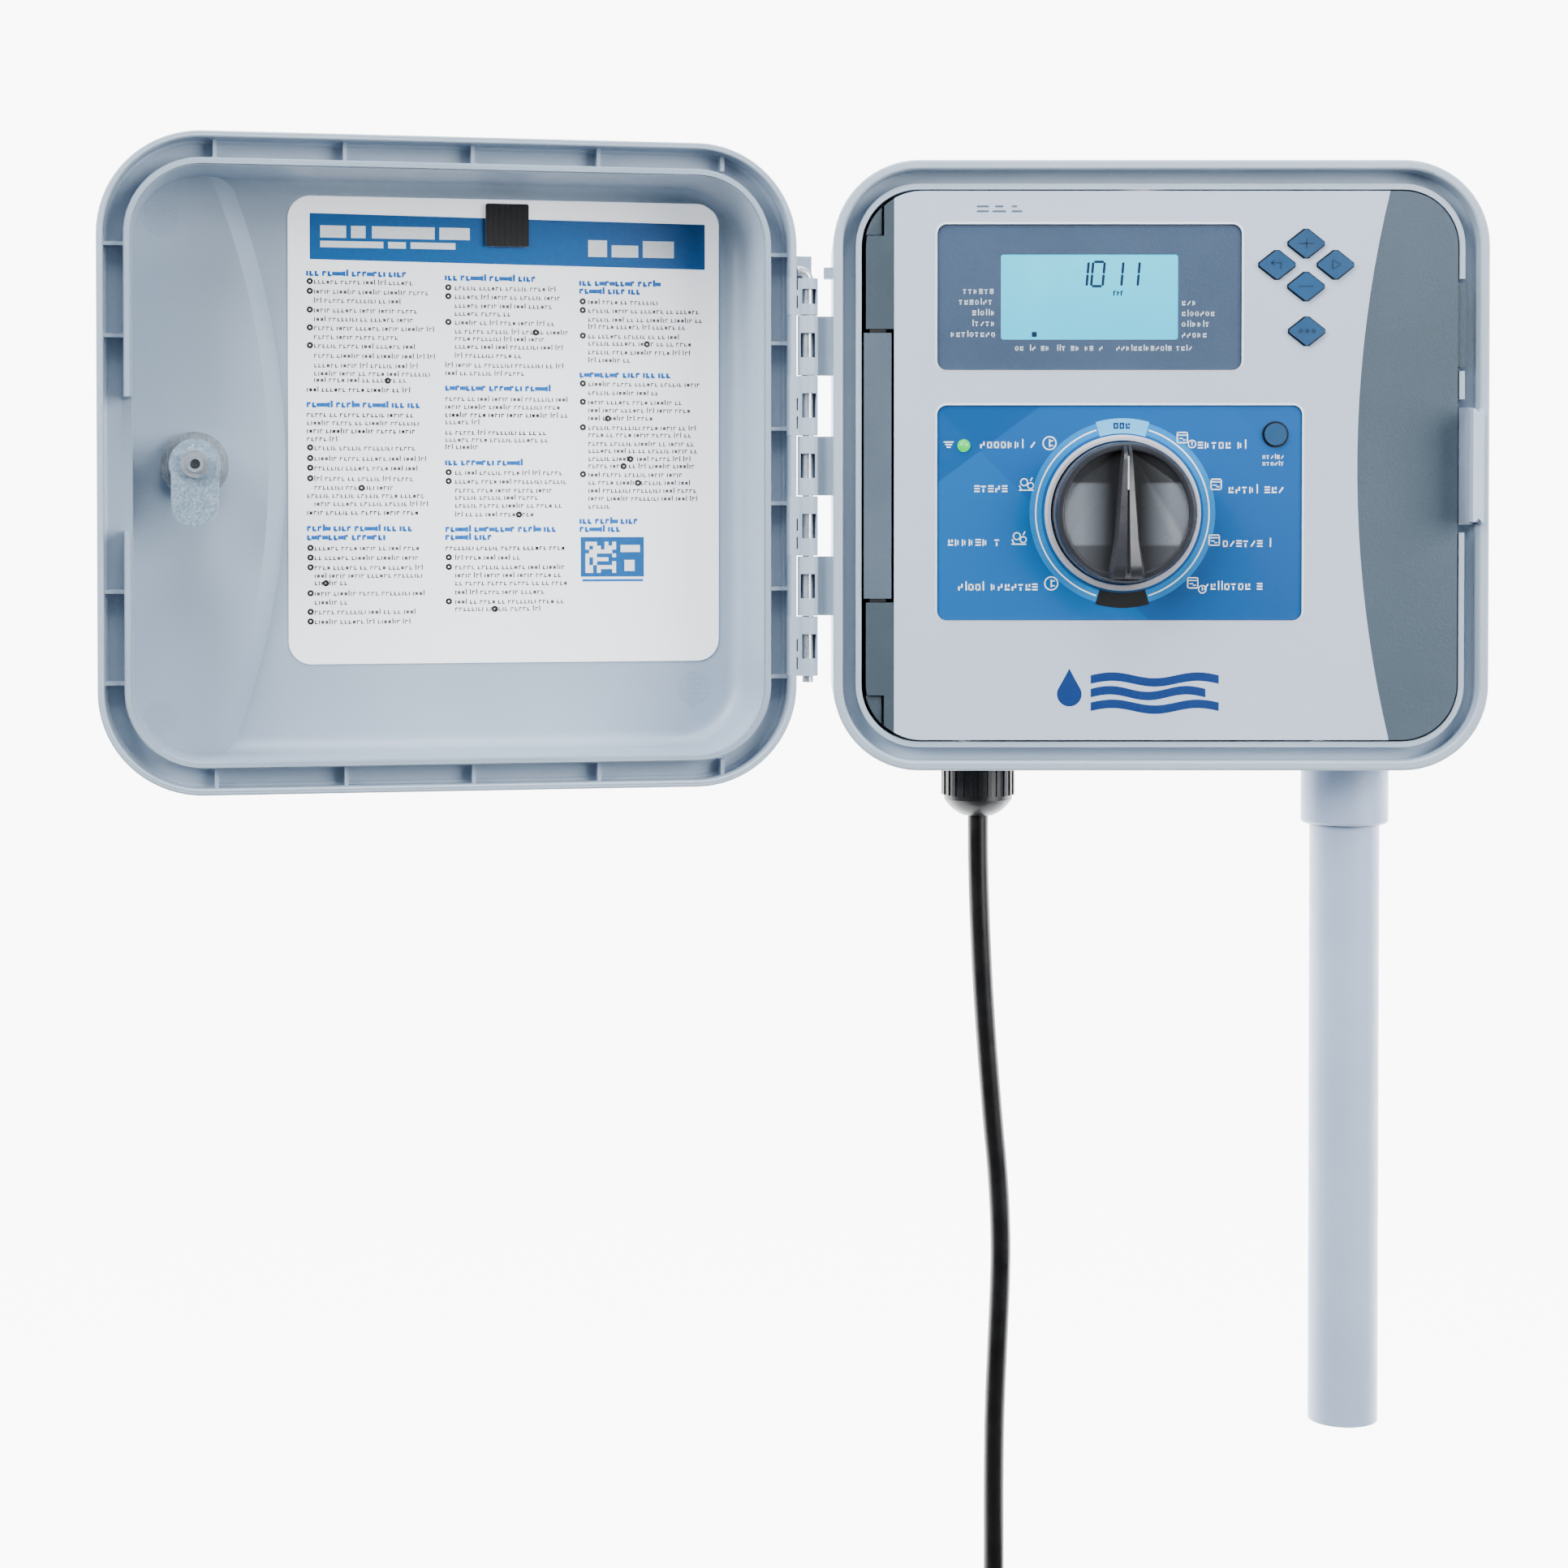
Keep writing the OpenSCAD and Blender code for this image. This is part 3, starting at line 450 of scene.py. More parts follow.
nodeFinish = {
    "case": ("cabinet_shell", "wiring_cover", "panel_back"),
    "strip": ("panel_hinge_strip",),
    "door": ("door_shell",),
    "panel": ("panel_bezel", "strike_catch"),
    "slate": ("side_cover",),
    "wing": ("panel_wings",),
    "bezel": ("display_bezel",),
    "black": ("hinge_clips", "terminal_block", "rotary_switch", "cord_tie"),
    "gland": ("gland_body", "gland_nut", "gland_locknut"),
    "knob": ("dial_knob",),
    "keys": ("key_up", "key_left", "key_right", "key_down", "key_program", "start_button"),
    "modules": ("base_module", "station_modules"),
    "lockRed": ("module_lock",),
    "rubber": ("gland_seal", "keypad_mat"),
    "paleRubber": ("door_gasket",),
    "cord": ("power_cord", "cord_coil", "cord_tail", "plug_body"),
    "pipe": ("conduit_adapter", "conduit_pipe"),
    "steel": ("hinge_pin", "transformer_screws", "terminal_screws", "board_screws", "panel_screws",
              "backup_battery"),
    "chrome": ("lock_body", "lock_nut", "lock_plug", "cam_nut"),
    "silver": ("dial_ring",),
    "brass": ("earth_lug", "plug_blades"),
    "core": ("transformer",),
    "zinc": ("cam_lever", "conduit_locknut"),
    "label": ("dial_label",),
    "display": ("lcd_module",),
    "tape": ("card_patch",),
    "card": ("instruction_card",),
    "board": ("main_board", "terminal_board"),
    "led": ("status_led",),
}
for key, names in nodeFinish.items():
    for name in names:
        node = frame["nodes"][name]
        node.data.materials.clear()
        node.data.materials.append(finish[key])
leadCord.data.materials.append(finish["cord"])
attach(leadCord, "cabinet")
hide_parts("power_cord", "cord_coil", "cord_tail")
print("materials made")


# shapes
def shapedLoop(points, fill="NGON"):
    # a ring of vertices laid through the given points
    clearSelection()
    bpy.ops.mesh.primitive_circle_add(vertices=len(points), radius=1, fill_type=fill)
    piece = bpy.context.object
    for vertex, point in zip(piece.data.vertices, points):
        vertex.co = point if len(point) == 3 else (*point, 0)
    return piece


def tidied(piece):
    makeActive(piece)
    bpy.ops.object.mode_set(mode="EDIT")
    bpy.ops.mesh.select_all(action="SELECT")
    bpy.ops.mesh.remove_doubles(threshold=0.0001)
    bpy.ops.mesh.normals_make_consistent(inside=False)
    bpy.ops.object.mode_set(mode="OBJECT")
    return piece


def pushed(distance):
    # the whole active piece, extruded along z
    bpy.ops.object.mode_set(mode="EDIT")
    bpy.ops.mesh.select_all(action="SELECT")
    bpy.ops.mesh.extrude_region_move(TRANSFORM_OT_translate={"value": (0, 0, distance)})
    bpy.ops.object.mode_set(mode="OBJECT")


def prism(points, low, high):
    # a flat outline pushed up from low to high
    piece = shapedLoop([(x, y, low) for x, y in points])
    pushed(high - low)
    return tidied(piece)


def turned(profile, segments=96, centre=(0, 0), sweepDeg=360, startDeg=0):
    # a profile of (radius, height) swept round the z axis
    cos, sin = math.cos(math.radians(startDeg)), math.sin(math.radians(startDeg))
    full = sweepDeg >= 360
    piece = shapedLoop([(r * cos, r * sin, z) for r, z in profile], "NOTHING" if full else "NGON")
    onAxis = full and profile[0][0] == 0 and profile[-1][0] == 0
    if onAxis:
        ends = {0, len(profile) - 1}
        for part in (*piece.data.vertices, *piece.data.edges):
            part.select = False
        next(e for e in piece.data.edges if set(e.vertices) == ends).select = True
        bpy.ops.object.mode_set(mode="EDIT")
        bpy.ops.mesh.select_mode(type="EDGE")
        bpy.ops.object.mode_set(mode="OBJECT")
        for edge in piece.data.edges:
            edge.select = set(edge.vertices) == ends
        bpy.ops.object.mode_set(mode="EDIT")
        bpy.ops.mesh.delete(type="EDGE")
        bpy.ops.mesh.select_mode(type="VERT")
    else:
        bpy.ops.object.mode_set(mode="EDIT")
    bpy.ops.mesh.select_all(action="SELECT")
    bpy.ops.mesh.spin(steps=segments, angle=-math.radians(sweepDeg), center=(0, 0, 0), axis=(0, 0, 1))
    bpy.ops.object.mode_set(mode="OBJECT")
    piece.data.transform(Matrix.Translation((*centre, 0)))
    return tidied(piece)


def copies(source, moves):
    # what repeats is modelled once; every copy gets its own mesh
    out = []
    for move in moves:
        piece = source.copy()
        piece.data = source.data.copy()
        piece.data.transform(move)
        bpy.context.collection.objects.link(piece)
        out.append(piece)
    return out


def barShape(corner=0.12, height=1.0):
    # one printed stroke, 1 by 1, with its corners taken off
    c = corner
    return prism([(c - 0.5, -0.5), (0.5 - c, -0.5), (0.5, c - 0.5), (0.5, 0.5 - c), (0.5 - c, 0.5), (c - 0.5, 0.5),
                  (-0.5, 0.5 - c), (-0.5, c - 0.5)], 0, height)


def strokeMove(x, y, width, height, z, thick, angle=0):
    return (Matrix.Translation((x, y, z)) @ Matrix.Rotation(math.radians(angle), 4, "Z")
            @ Matrix.Diagonal((width, height, thick, 1)))


def printed(name, strokes, z, thick, extra=()):
    # strokes are (x, y, width, height) or (x, y, width, height, angle), all on one face
    bar = barShape()
    made = copies(bar, [strokeMove(s[0], s[1], s[2], s[3], z, thick, *s[4:]) for s in strokes])
    bpy.data.objects.remove(bar)
    return joined(name, made + list(extra))


def ringAt(x, y, inner, outer, z, thick, segments=40, sweepDeg=360, startDeg=0):
    return turned([(inner, z), (outer, z), (outer, z + thick), (inner, z + thick)], segments, (x, y), sweepDeg,
                  startDeg)


# marks in place of writing: strokes on a small grid that make no letters
markShapes = [
    [(0.15, 0.5, 0.16, 1.0)],
    [(0.1, 0.36, 0.16, 0.72), (0.5, 0.36, 0.16, 0.72), (0.3, 0.08, 0.56, 0.16), (0.3, 0.64, 0.56, 0.16)],
    [(0.3, 0.1, 0.6, 0.17), (0.3, 0.4, 0.6, 0.17), (0.3, 0.68, 0.6, 0.17)],
    [(0.1, 0.36, 0.16, 0.72), (0.35, 0.36, 0.14, 0.5)],
    [(0.3, 0.12, 0.56, 0.2), (0.14, 0.48, 0.2, 0.4), (0.46, 0.55, 0.2, 0.3)],
    [(0.3, 0.36, 0.18, 0.74, -35)],
    [(0.12, 0.22, 0.2, 0.44), (0.44, 0.5, 0.2, 0.44), (0.28, 0.36, 0.3, 0.14)],
    [(0.25, 0.62, 0.5, 0.18), (0.25, 0.2, 0.2, 0.4)],
]


def markRow(chance, x0, x1, y, size, wordLow=3, wordHigh=8, step=0.78, thin=1.0):
    # a row of marks from x0 to x1, y at its foot, broken up like words
    out, x, left = [], x0, chance.randint(wordLow, wordHigh)
    while x + size * 0.6 <= x1:
        if left == 0:
            left = chance.randint(wordLow, wordHigh)
            x += size * 0.55
            continue
        shape = chance.choice(markShapes)
        for sx, sy, sw, sh, *turn in shape:
            wide, high = (sw * thin, sh) if sw < sh else (sw, sh * thin)
            out.append((x + sx * size, y + sy * size, wide * size, high * size, *turn))
        x += size * (step if shape is not markShapes[0] else step * 0.5)
        left -= 1
    return out


# display: dark digits and the marks round the window
displaySettings = {
    "face": 61.6,
    "ink": 0.07,
    "digitHeight": 9.1,
    "digitWidth": 4.3,
    "segment": 0.95,
    "centres": [-29.4, -23.4, -16.4, -10.3],
    "middle": 71.8,
    "bezelFace": 62.4,
}
segmentPlaces = {
    "top": (0, 0.5, 0.62, 0), "upperRight": (0.5, 0.25, 0, 0.36), "lowerRight": (0.5, -0.25, 0, 0.36),
    "bottom": (0, -0.5, 0.62, 0), "lowerLeft": (-0.5, -0.25, 0, 0.36), "upperLeft": (-0.5, 0.25, 0, 0.36),
}
litSegments = [
    ("upperRight", "lowerRight"),
    ("top", "upperRight", "lowerRight", "bottom", "lowerLeft", "upperLeft"),
    ("upperRight", "lowerRight"),
    ("upperRight", "lowerRight"),
]
segmentStrokes = []
for centre, lit in zip(displaySettings["centres"], litSegments):
    tall, wide, bar = displaySettings["digitHeight"], displaySettings["digitWidth"], displaySettings["segment"]
    for name in lit:
        sx, sy, sw, sh = segmentPlaces[name]
        lean = sy * tall * 0.09
        segmentStrokes.append((centre + sx * wide + lean, displaySettings["middle"] + sy * tall,
                               sw * wide + bar if sw else bar, sh * tall + bar if sh else bar, -5 if sh else 0))
for k in range(3):
    segmentStrokes.append((-17.4 + 1.35 * k, 64.6, 0.5, 1.9))
    segmentStrokes.append((-17.0 + 1.35 * k, 65.3 - 0.5 * (k % 2), 0.6, 0.45))
segmentStrokes.append((-47.2, 49.2, 1.9, 1.9))
displayDigits = printed("display_digits", segmentStrokes, displaySettings["face"] - 0.02, displaySettings["ink"])
settle(displayDigits, "control_panel", "inkSegment")

chance = random.Random(11)
bezelStrokes = []
for k, start in enumerate((-74, -75.5, -70.5, -70.5, -78.5)):
    bezelStrokes += markRow(chance, start, -60.9, 64.3 - 4.02 * k, 2.45, 7, 9, 0.82)
for k, end in enumerate((14.5, 20.6, 18.2, 17.5)):
    bezelStrokes += markRow(chance, 7.9, end, 60.0 - 4.0 * k, 2.4, 7, 9, 0.82)
for start, end in ((-54.5, -50.5), (-49, -46.5), (-44.8, -40.3), (-38.8, -35.2), (-33.6, -30), (-28.4, -25),
                   (-23, -19.8),
                   (-16.6, 12.2)):
    bezelStrokes += markRow(chance, start, end, 43.1, 2.3, 12, 20, 0.8)
bezelMarks = printed("bezel_marks", bezelStrokes, displaySettings["bezelFace"] - 0.02, 0.07)
settle(bezelMarks, "control_panel", "inkLegend")
print("display made")

# dial label: blue rings, two end signs, marks and small pictures in white
labelSettings = {
    "face": 62.6,
    "ink": 0.06,
    "axis": (-14.2, -17.6),
    "leftRows": [(-67.6, -45.8, 6.6), (-69.7, -54.8, -9.9), (-79.6, -58.2, -30.0), (-75.8, -44.4, -46.7)],
    "rightRows": [(13.9, 34.4, 6.4), (25.4, 47.4, -10.3), (23.3, 43.8, -30.4), (16.2, 38.6, -46.5)],
    "leftPictures": [(-41.5, 8.5), (-50.2, -7.0), (-52.9, -27.2), (-40.8, -44.0)],
    "rightPictures": [(8.2, 10.6), (20.9, -6.9), (20.2, -27.8), (12.2, -43.8)],
}
ax, ay = labelSettings["axis"]
face, ink = labelSettings["face"] - 0.02, labelSettings["ink"]
skyRing = ringAt(ax, ay, 30.3, 34.8, face, ink, 120)
settle(joined("label_ring", [skyRing]), "control_panel", "inkSky")
signTop = ringAt(ax, ay, 29.8, 35.4, face, ink + 0.04, 16, 33, 73.5)
settle(joined("label_sign_top", [signTop]), "control_panel", "inkPale")
signBottom = ringAt(ax, ay, 29.9, 35.6, face, ink + 0.04, 16, 33, 253.5)
settle(joined("label_sign_bottom", [signBottom]), "control_panel", "inkBlack")
whiteRing = [ringAt(ax, ay, 32.2, 32.75, face, ink + 0.02, 60, 145, 107.5),
             ringAt(ax, ay, 32.2, 32.75, face, ink + 0.02, 60, 145, 287.5)]
labelStrokes = []
for x0, x1, y in labelSettings["leftRows"] + labelSettings["rightRows"]:
    labelStrokes += markRow(chance, x0, x1, y, 3.5, 5, 8, 0.74, 0.85)
labelStrokes += markRow(chance, 38.2, 47.6, 2.6, 1.9, 9, 10, 0.8) + markRow(chance, 38.2, 47.6, 0.1, 1.9, 9, 10, 0.8)
for k in range(3):
    labelStrokes.append((-79.3, 8.9 - 0.95 * k, 3.7 - 1.1 * k, 0.5))
labelStrokes += markRow(chance, -17.9, -10.6, -50.8 - 0.35, 2.4, 9, 9, 0.72)
pictureRings = []
for k, (x, y) in enumerate(labelSettings["leftPictures"] + labelSettings["rightPictures"]):
    if k in (0, 3):
        pictureRings.append(ringAt(x, y, 2.2, 2.65, face, ink, 32))
        labelStrokes += [(x, y, 0.5, 3.0), (x + 0.7, y - 0.9, 1.4, 0.45), (x + 0.7, y + 0.9, 1.4, 0.45)]
    elif k in (1, 2):
        pictureRings += [ringAt(x - 0.8, y + 0.9, 1.1, 1.5, face, ink, 24),
                         ringAt(x + 1.6, y - 0.4, 0.9, 1.3, face, ink, 24)]
        labelStrokes += [(x, y - 2.1, 5.6, 0.45), (x - 2.2, y - 1.2, 0.45, 2.0, 25),
                         (x + 1.9, y + 2.0, 0.45, 1.5, -30)]
    else:
        for dx, dy, w, h in ((0, 1.9, 4.2, 0.45), (0, -1.9, 4.2, 0.45), (-1.9, 0, 0.45, 4.2), (1.9, 0, 0.45, 4.2),
                             (0, 0.9, 3.4, 0.4), (-0.5, -0.3, 1.4, 0.4), (0.7, -0.9, 1.2, 0.4)):
            labelStrokes.append((x + dx, y + dy, w, h))
        if k in (4, 7):
            pictureRings.append(ringAt(x + 3.6, y - 2.4, 1.2, 1.6, face, ink, 28))
            labelStrokes.append((x + 3.6, y - 2.2, 0.4, 1.4))
labelMarks = printed("label_marks", labelStrokes, face, ink + 0.02, whiteRing + pictureRings)
settle(labelMarks, "control_panel", "inkWhite")
signMarks = printed("sign_marks", markRow(chance, -17.6, -10.4, 13.9, 3.0, 9, 9, 0.74, 1.2), face + 0.04, ink + 0.03)
settle(signMarks, "control_panel", "inkMark")
print("dial label made")

# panel marks: a short mark where the name was, and a drop over waves where the sign was
panelFace = 63.0
nameMarks = printed("panel_name_mark", [(-66.6, 95.1, 4.6, 0.75), (-60.5, 95.1, 5.2, 0.75), (-66.6, 96.9, 4.6, 0.75),
                                        (-53.8, 95.1, 4.0, 0.75), (-60.5, 96.9, 3.2, 0.75), (-54.8, 96.9, 2.0, 0.75)],
                    panelFace - 0.02, 0.07)
settle(nameMarks, "control_panel", "inkName")


def dropOutline(x, y, radius, tip, steps=28):
    points = []
    for k in range(steps + 1):
        a = math.radians(-205 + 230 * k / steps)
        points.append((x + radius * math.cos(a), y + radius * math.sin(a)))
    return points + [(x + radius * 0.42, y + tip * 0.62), (x, y + tip), (x - radius * 0.42, y + tip * 0.62)]


def waveOutline(x0, x1, y, rise, thick, steps=36):
    upper = [(x0 + (x1 - x0) * k / steps, y + rise * math.sin(3 * math.pi * k / steps)) for k in range(steps + 1)]
    return upper + [(x, h - thick) for x, h in reversed(upper)]


signParts = [prism(dropOutline(-34, -85.5, 4.6, 9.6), panelFace - 0.02, panelFace + 0.06)]
for k, (x1, thick) in enumerate(((22, 3.2), (17, 3.2), (22, 3.2))):
    signParts.append(prism(waveOutline(-26, x1, -78.4 - 5.1 * k, 1.1, thick), panelFace - 0.02, panelFace + 0.06))
settle(joined("panel_sign", signParts), "control_panel", "inkMark")
print("panel marks made")

# dial knob: a turned body, two dishes of three facets each, and a tapering grip over the middle
knobSettings = {
    "axis": (-14.2, -17.6),
    "rim": 77.8,
    "dishRadius": 23.0,
    "dishMiddle": (7.2, 1.0),
    "dishLow": 69.5,
    "facetTurns": (52, -6, -56),
    "facetRise": (0.36, 0.43, 0.4),
    "gripEnds": (24.9, -24.4),
    "gripHalf": [(24.9, 1.5), (9, 2.6), (-10.5, 4.1), (-24.4, 6.3)],
}
kx, ky = knobSettings["axis"]


def knobPlaced(piece):
    piece.data.transform(Matrix.Translation((kx, ky, 0)))
    return piece


def gripHalfAt(y):
    table = knobSettings["gripHalf"]
    for (y0, w0), (y1, w1) in zip(table, table[1:]):
        if y1 <= y <= y0:
            return w0 + (w1 - w0) * (y0 - y) / (y0 - y1)
    return table[-1][1]


rim = knobSettings["rim"]
knobBody = turned([(0, 54), (2.9, 54), (2.9, 63), (24.6, 63), (26.1, 63.6), (26.5, 64.6), (26.3, 75.2), (25.9, 76.7),
                   (25.2, 77.6), (24.2, rim), (23.4, 77.6), (23.0, 77.0), (22.8, 70), (22.6, 66), (0, 66)], 144)
dishes = []
for side in (1, -1):
    (midX, midY), radius = knobSettings["dishMiddle"], knobSettings["dishRadius"]
    start = math.degrees(math.acos(gripHalfAt(22) / radius))
    ends = (start, -math.degrees(math.acos(gripHalfAt(-22) / radius)))
    arc = [ends[0] + (ends[1] - ends[0]) * k / 60 for k in range(61)]
    outline = [(radius * math.cos(math.radians(a)), radius * math.sin(math.radians(a))) for a in arc]
    low = [(gripHalfAt(y) * 0.9, y) for y in (-18, -12, -6, 0, 6, 12, 18)]
    points = []
    for x, y in outline + low:
        rise = max(s * ((x - midX) * math.cos(math.radians(t)) + (y - midY) * math.sin(math.radians(t)))
                   for t, s in zip(knobSettings["facetTurns"], knobSettings["facetRise"]))
        points.append((side * x, y, min(knobSettings["dishLow"] + rise, 76.9)))
    dish = shapedLoop(points, "TRIFAN")
    dish.data.vertices[len(points)].co = (side * midX, midY, knobSettings["dishLow"])
    pushed(-3)
    dishes.append(tidied(dish))
clearSelection()
bpy.ops.mesh.primitive_grid_add(x_subdivisions=10, y_subdivisions=28, size=2)
grip = bpy.context.object
section = [(-1.5, 66.5), (-1.22, 74), (-1.04, 80.4), (-0.9, 81.9), (-0.16, 82.9), (0, 82.1), (0.16, 82.9),
           (0.9, 81.9), (1.04, 80.4), (1.22, 74), (1.5, 66.5)]
top, foot = knobSettings["gripEnds"]
for vertex in grip.data.vertices:
    column = round((vertex.co.x + 1) * 5)
    along = (1 - vertex.co.y) / 2
    y = top + (foot - top) * along
    across, high = section[column]
    drop = max(0, abs(y) - 20.5) ** 2 * 0.16
    vertex.co = (across * gripHalfAt(y), y, max(high - (drop if high > 70 else 0), 66.5))
pushed(-2)
grip = tidied(grip)
knobPieces = [knobPlaced(p) for p in (knobBody, grip)]
settle(joined("knob_moulding", knobPieces), "dial", "knob", ["dial_knob"], smooth=28)
settle(joined("knob_dish", [knobPlaced(p) for p in dishes]), "dial", "dish", smooth=18)
pointer = prism([(-0.32, 8.5), (0.32, 8.5), (0.28, 20.8), (-0.28, 20.8)], 82.0, 82.75)
settle(joined("knob_pointer", [knobPlaced(pointer)]), "dial", "inkLegend")
print("knob made")

# keys: an outline round each key, and a symbol on top
keySettings = {
    "places": [(54.2, 83), (43.3, 75.1), (65.2, 75.1), (54.2, 67), (54.5, 50.3)],
    "bodies": ["key_up", "key_left", "key_right", "key_down", "key_program"],
    "half": (7.25, 5.6),
    "top": 64.4,
    "outline": 0.8,
    "outlineHeights": (62.98, 63.12),
    "startButton": (43.0, 11.8),
}


def diamond(x, y, grow, round_=1.3):
    hx, hy = keySettings["half"][0] + grow, keySettings["half"][1] + grow
    points = []
    for k in range(4):
        a = math.pi / 2 * k
        cx, cy = hx * math.cos(a), hy * math.sin(a)
        b = math.pi / 2 * (k - 1)
        c = math.pi / 2 * (k + 1)
        for other in (b, c):
            ox, oy = hx * math.cos(other), hy * math.sin(other)
            length = math.hypot(ox - cx, oy - cy)
            points.append((x + cx + (ox - cx) * round_ / length, y + cy + (oy - cy) * round_ / length))
    return points


keyEdges = []
for x, y in keySettings["places"]:
    outer = diamond(x, y, keySettings["outline"])
    inner = diamond(x, y, 0.08)
    for a, b, c, d in zip(outer, outer[1:] + outer[:1], inner[1:] + inner[:1], inner):
        keyEdges.append(prism([a, b, c, d], *keySettings["outlineHeights"]))
keyEdges.append(ringAt(*keySettings["startButton"], 4.3, 4.95, 62.58, 0.12, 48))
settle(joined("key_outlines", keyEdges), "control_panel", "inkBlack")
symbolStrokes = [
    [(0, 0, 5.6, 0.5), (0, 0, 0.5, 3.6)],
    [(-0.4, 0.7, 3.8, 0.45), (1.4, -0.5, 0.45, 2.4), (-1.6, 1.2, 1.5, 0.42, 40), (-1.6, 0.2, 1.5, 0.42, -40)],
    [(-1.2, 0, 0.45, 3.2), (0.3, 0.85, 3.4, 0.42, -27), (0.3, -0.85, 3.4, 0.42, 27)],
    [(0, 0, 5.6, 0.5)],
    [(-2.4, 0, 1.5, 1.5, 45), (0, 0, 1.5, 1.5, 45), (2.4, 0, 1.5, 1.5, 45)],
]
for (x, y), body, strokes in zip(keySettings["places"], keySettings["bodies"], symbolStrokes):
    moved = [(x + s[0], y + s[1], *s[2:]) for s in strokes]
    symbol = printed(body + "_symbol", moved, keySettings["top"] - 0.03, 0.08)
    settle(symbol, body, "keyInk")
print("keys made")

# instruction card: blue band, white bars, three columns of headings, bullets and grey marks, and a badge
cardSettings = {
    "face": 105.8,
    "ink": 0.07,
    "scale": (0.3024, 0.3052),
    "corner": (-58.5, 101.7),
    "edges": (340, 240),
    "textSize": 2.05,
    "headSize": 2.6,
    "columns": [(363, 372), (535, 547), (705, 716)],
}
# rows on a layout grid of about 0.3 mm: a kind (h heading, b bullet, t text, p note), and (down, end)
cardKinds = ["hbbtbtbtbttttphppppbbbbtptphhbbbttbtbb", "hbbttbttttpphppppppphbbtttthhpbbtttbt",
             "hhbbttbttthbtbttbtttttbtttthh"]
cardRows = [
    [(335, 498), (345, 500), (357, 519), (368, 488), (380, 512), (391, 498), (402, 521), (413, 478),
     (424, 507), (436, 525), (448, 505), (458, 519), (466, 495), (478, 492), (497, 508), (509, 495),
     (519, 506), (529, 504), (539, 410), (550, 497), (563, 512), (575, 504), (588, 505), (599, 470),
     (609, 520), (619, 516), (630, 507), (650, 495), (661, 470), (674, 505), (686, 512), (698, 506),
     (708, 512), (717, 416), (730, 516), (741, 414), (753, 508), (765, 500)],
    [(338, 650), (350, 678), (361, 688), (372, 676), (382, 622), (393, 678), (404, 690), (413, 672),
     (423, 684), (434, 636), (446, 684), (456, 642), (475, 672), (488, 692), (498, 690), (508, 694),
     (517, 582), (530, 662), (539, 664), (548, 584), (568, 646), (580, 682), (591, 690), (602, 676),
     (611, 660), (621, 684), (632, 656), (651, 677), (661, 596), (674, 690), (686, 630), (698, 688),
     (708, 690), (718, 688), (729, 660), (741, 688), (750, 658)],
    [(342, 810), (352, 790), (365, 812), (376, 860), (387, 862), (396, 848), (408, 838), (417, 858),
     (428, 856), (438, 778), (457, 826), (468, 860), (479, 808), (491, 838), (501, 852), (511, 800),
     (523, 858), (532, 860), (543, 856), (552, 860), (562, 852), (571, 858), (582, 842), (592, 858),
     (602, 856), (612, 860), (622, 750), (641, 788), (651, 768)],
]
chance = random.Random(5)


def cardAt(across, down):
    # a place on the layout grid, in millimetres
    (sx, sy), (x0, y0), (ex, ey) = cardSettings["scale"], cardSettings["corner"], cardSettings["edges"]
    return (x0 + (across - ex) * sx, y0 - (down - ey) * sy)


def cardPlaced(piece):
    # the card is read from behind the closed door, so its print is turned about the upright axis
    piece.data.transform(Matrix.Translation((0, 0, cardSettings["face"] + 0.02)) @ Matrix.Rotation(math.pi, 4, "Y"))
    return piece


def wordSet(size, counts, thin):
    # words of loose strokes, each modelled once: (piece, width)
    stroke = prism([(-0.5, -0.5), (0.5, -0.5), (0.5, 0.5), (-0.5, 0.5)], 0, 1)
    words = []
    for count in counts:
        x, moves = 0.0, []
        for _ in range(count):
            tall = chance.choice((0.72, 0.72, 1.0))
            kind = chance.randrange(4)
            parts = ([(0.1, tall / 2, 0.2, tall)], [(0.1, 0.36, 0.17, 0.72), (0.36, 0.6, 0.36, 0.2)],
                     [(0.28, 0.1, 0.56, 0.18), (0.14, 0.42, 0.2, 0.6)], [(0.28, 0.36, 0.5, 0.56)])[kind]
            for sx, sy, sw, sh in parts:
                w, h = (sw * thin, sh) if sw < sh else (sw, sh * thin)
                moves.append(strokeMove(x + sx * size, sy * size, w * size, h * size, 0, cardSettings["ink"]))
            x += (0.42 if kind == 0 else 0.76) * size
        words.append((joined("word", copies(stroke, moves)), x))
    bpy.data.objects.remove(stroke)
    return words


def wordRow(words, x0, x1, y, gap):
    out, x = [], x0
    while True:
        fitting = [w for w in words if x + w[1] <= x1 + 0.6]
        if not fitting:
            return out
        piece, width = chance.choice(fitting)
        out += copies(piece, [Matrix.Translation((x, y, 0))])
        x += width + gap


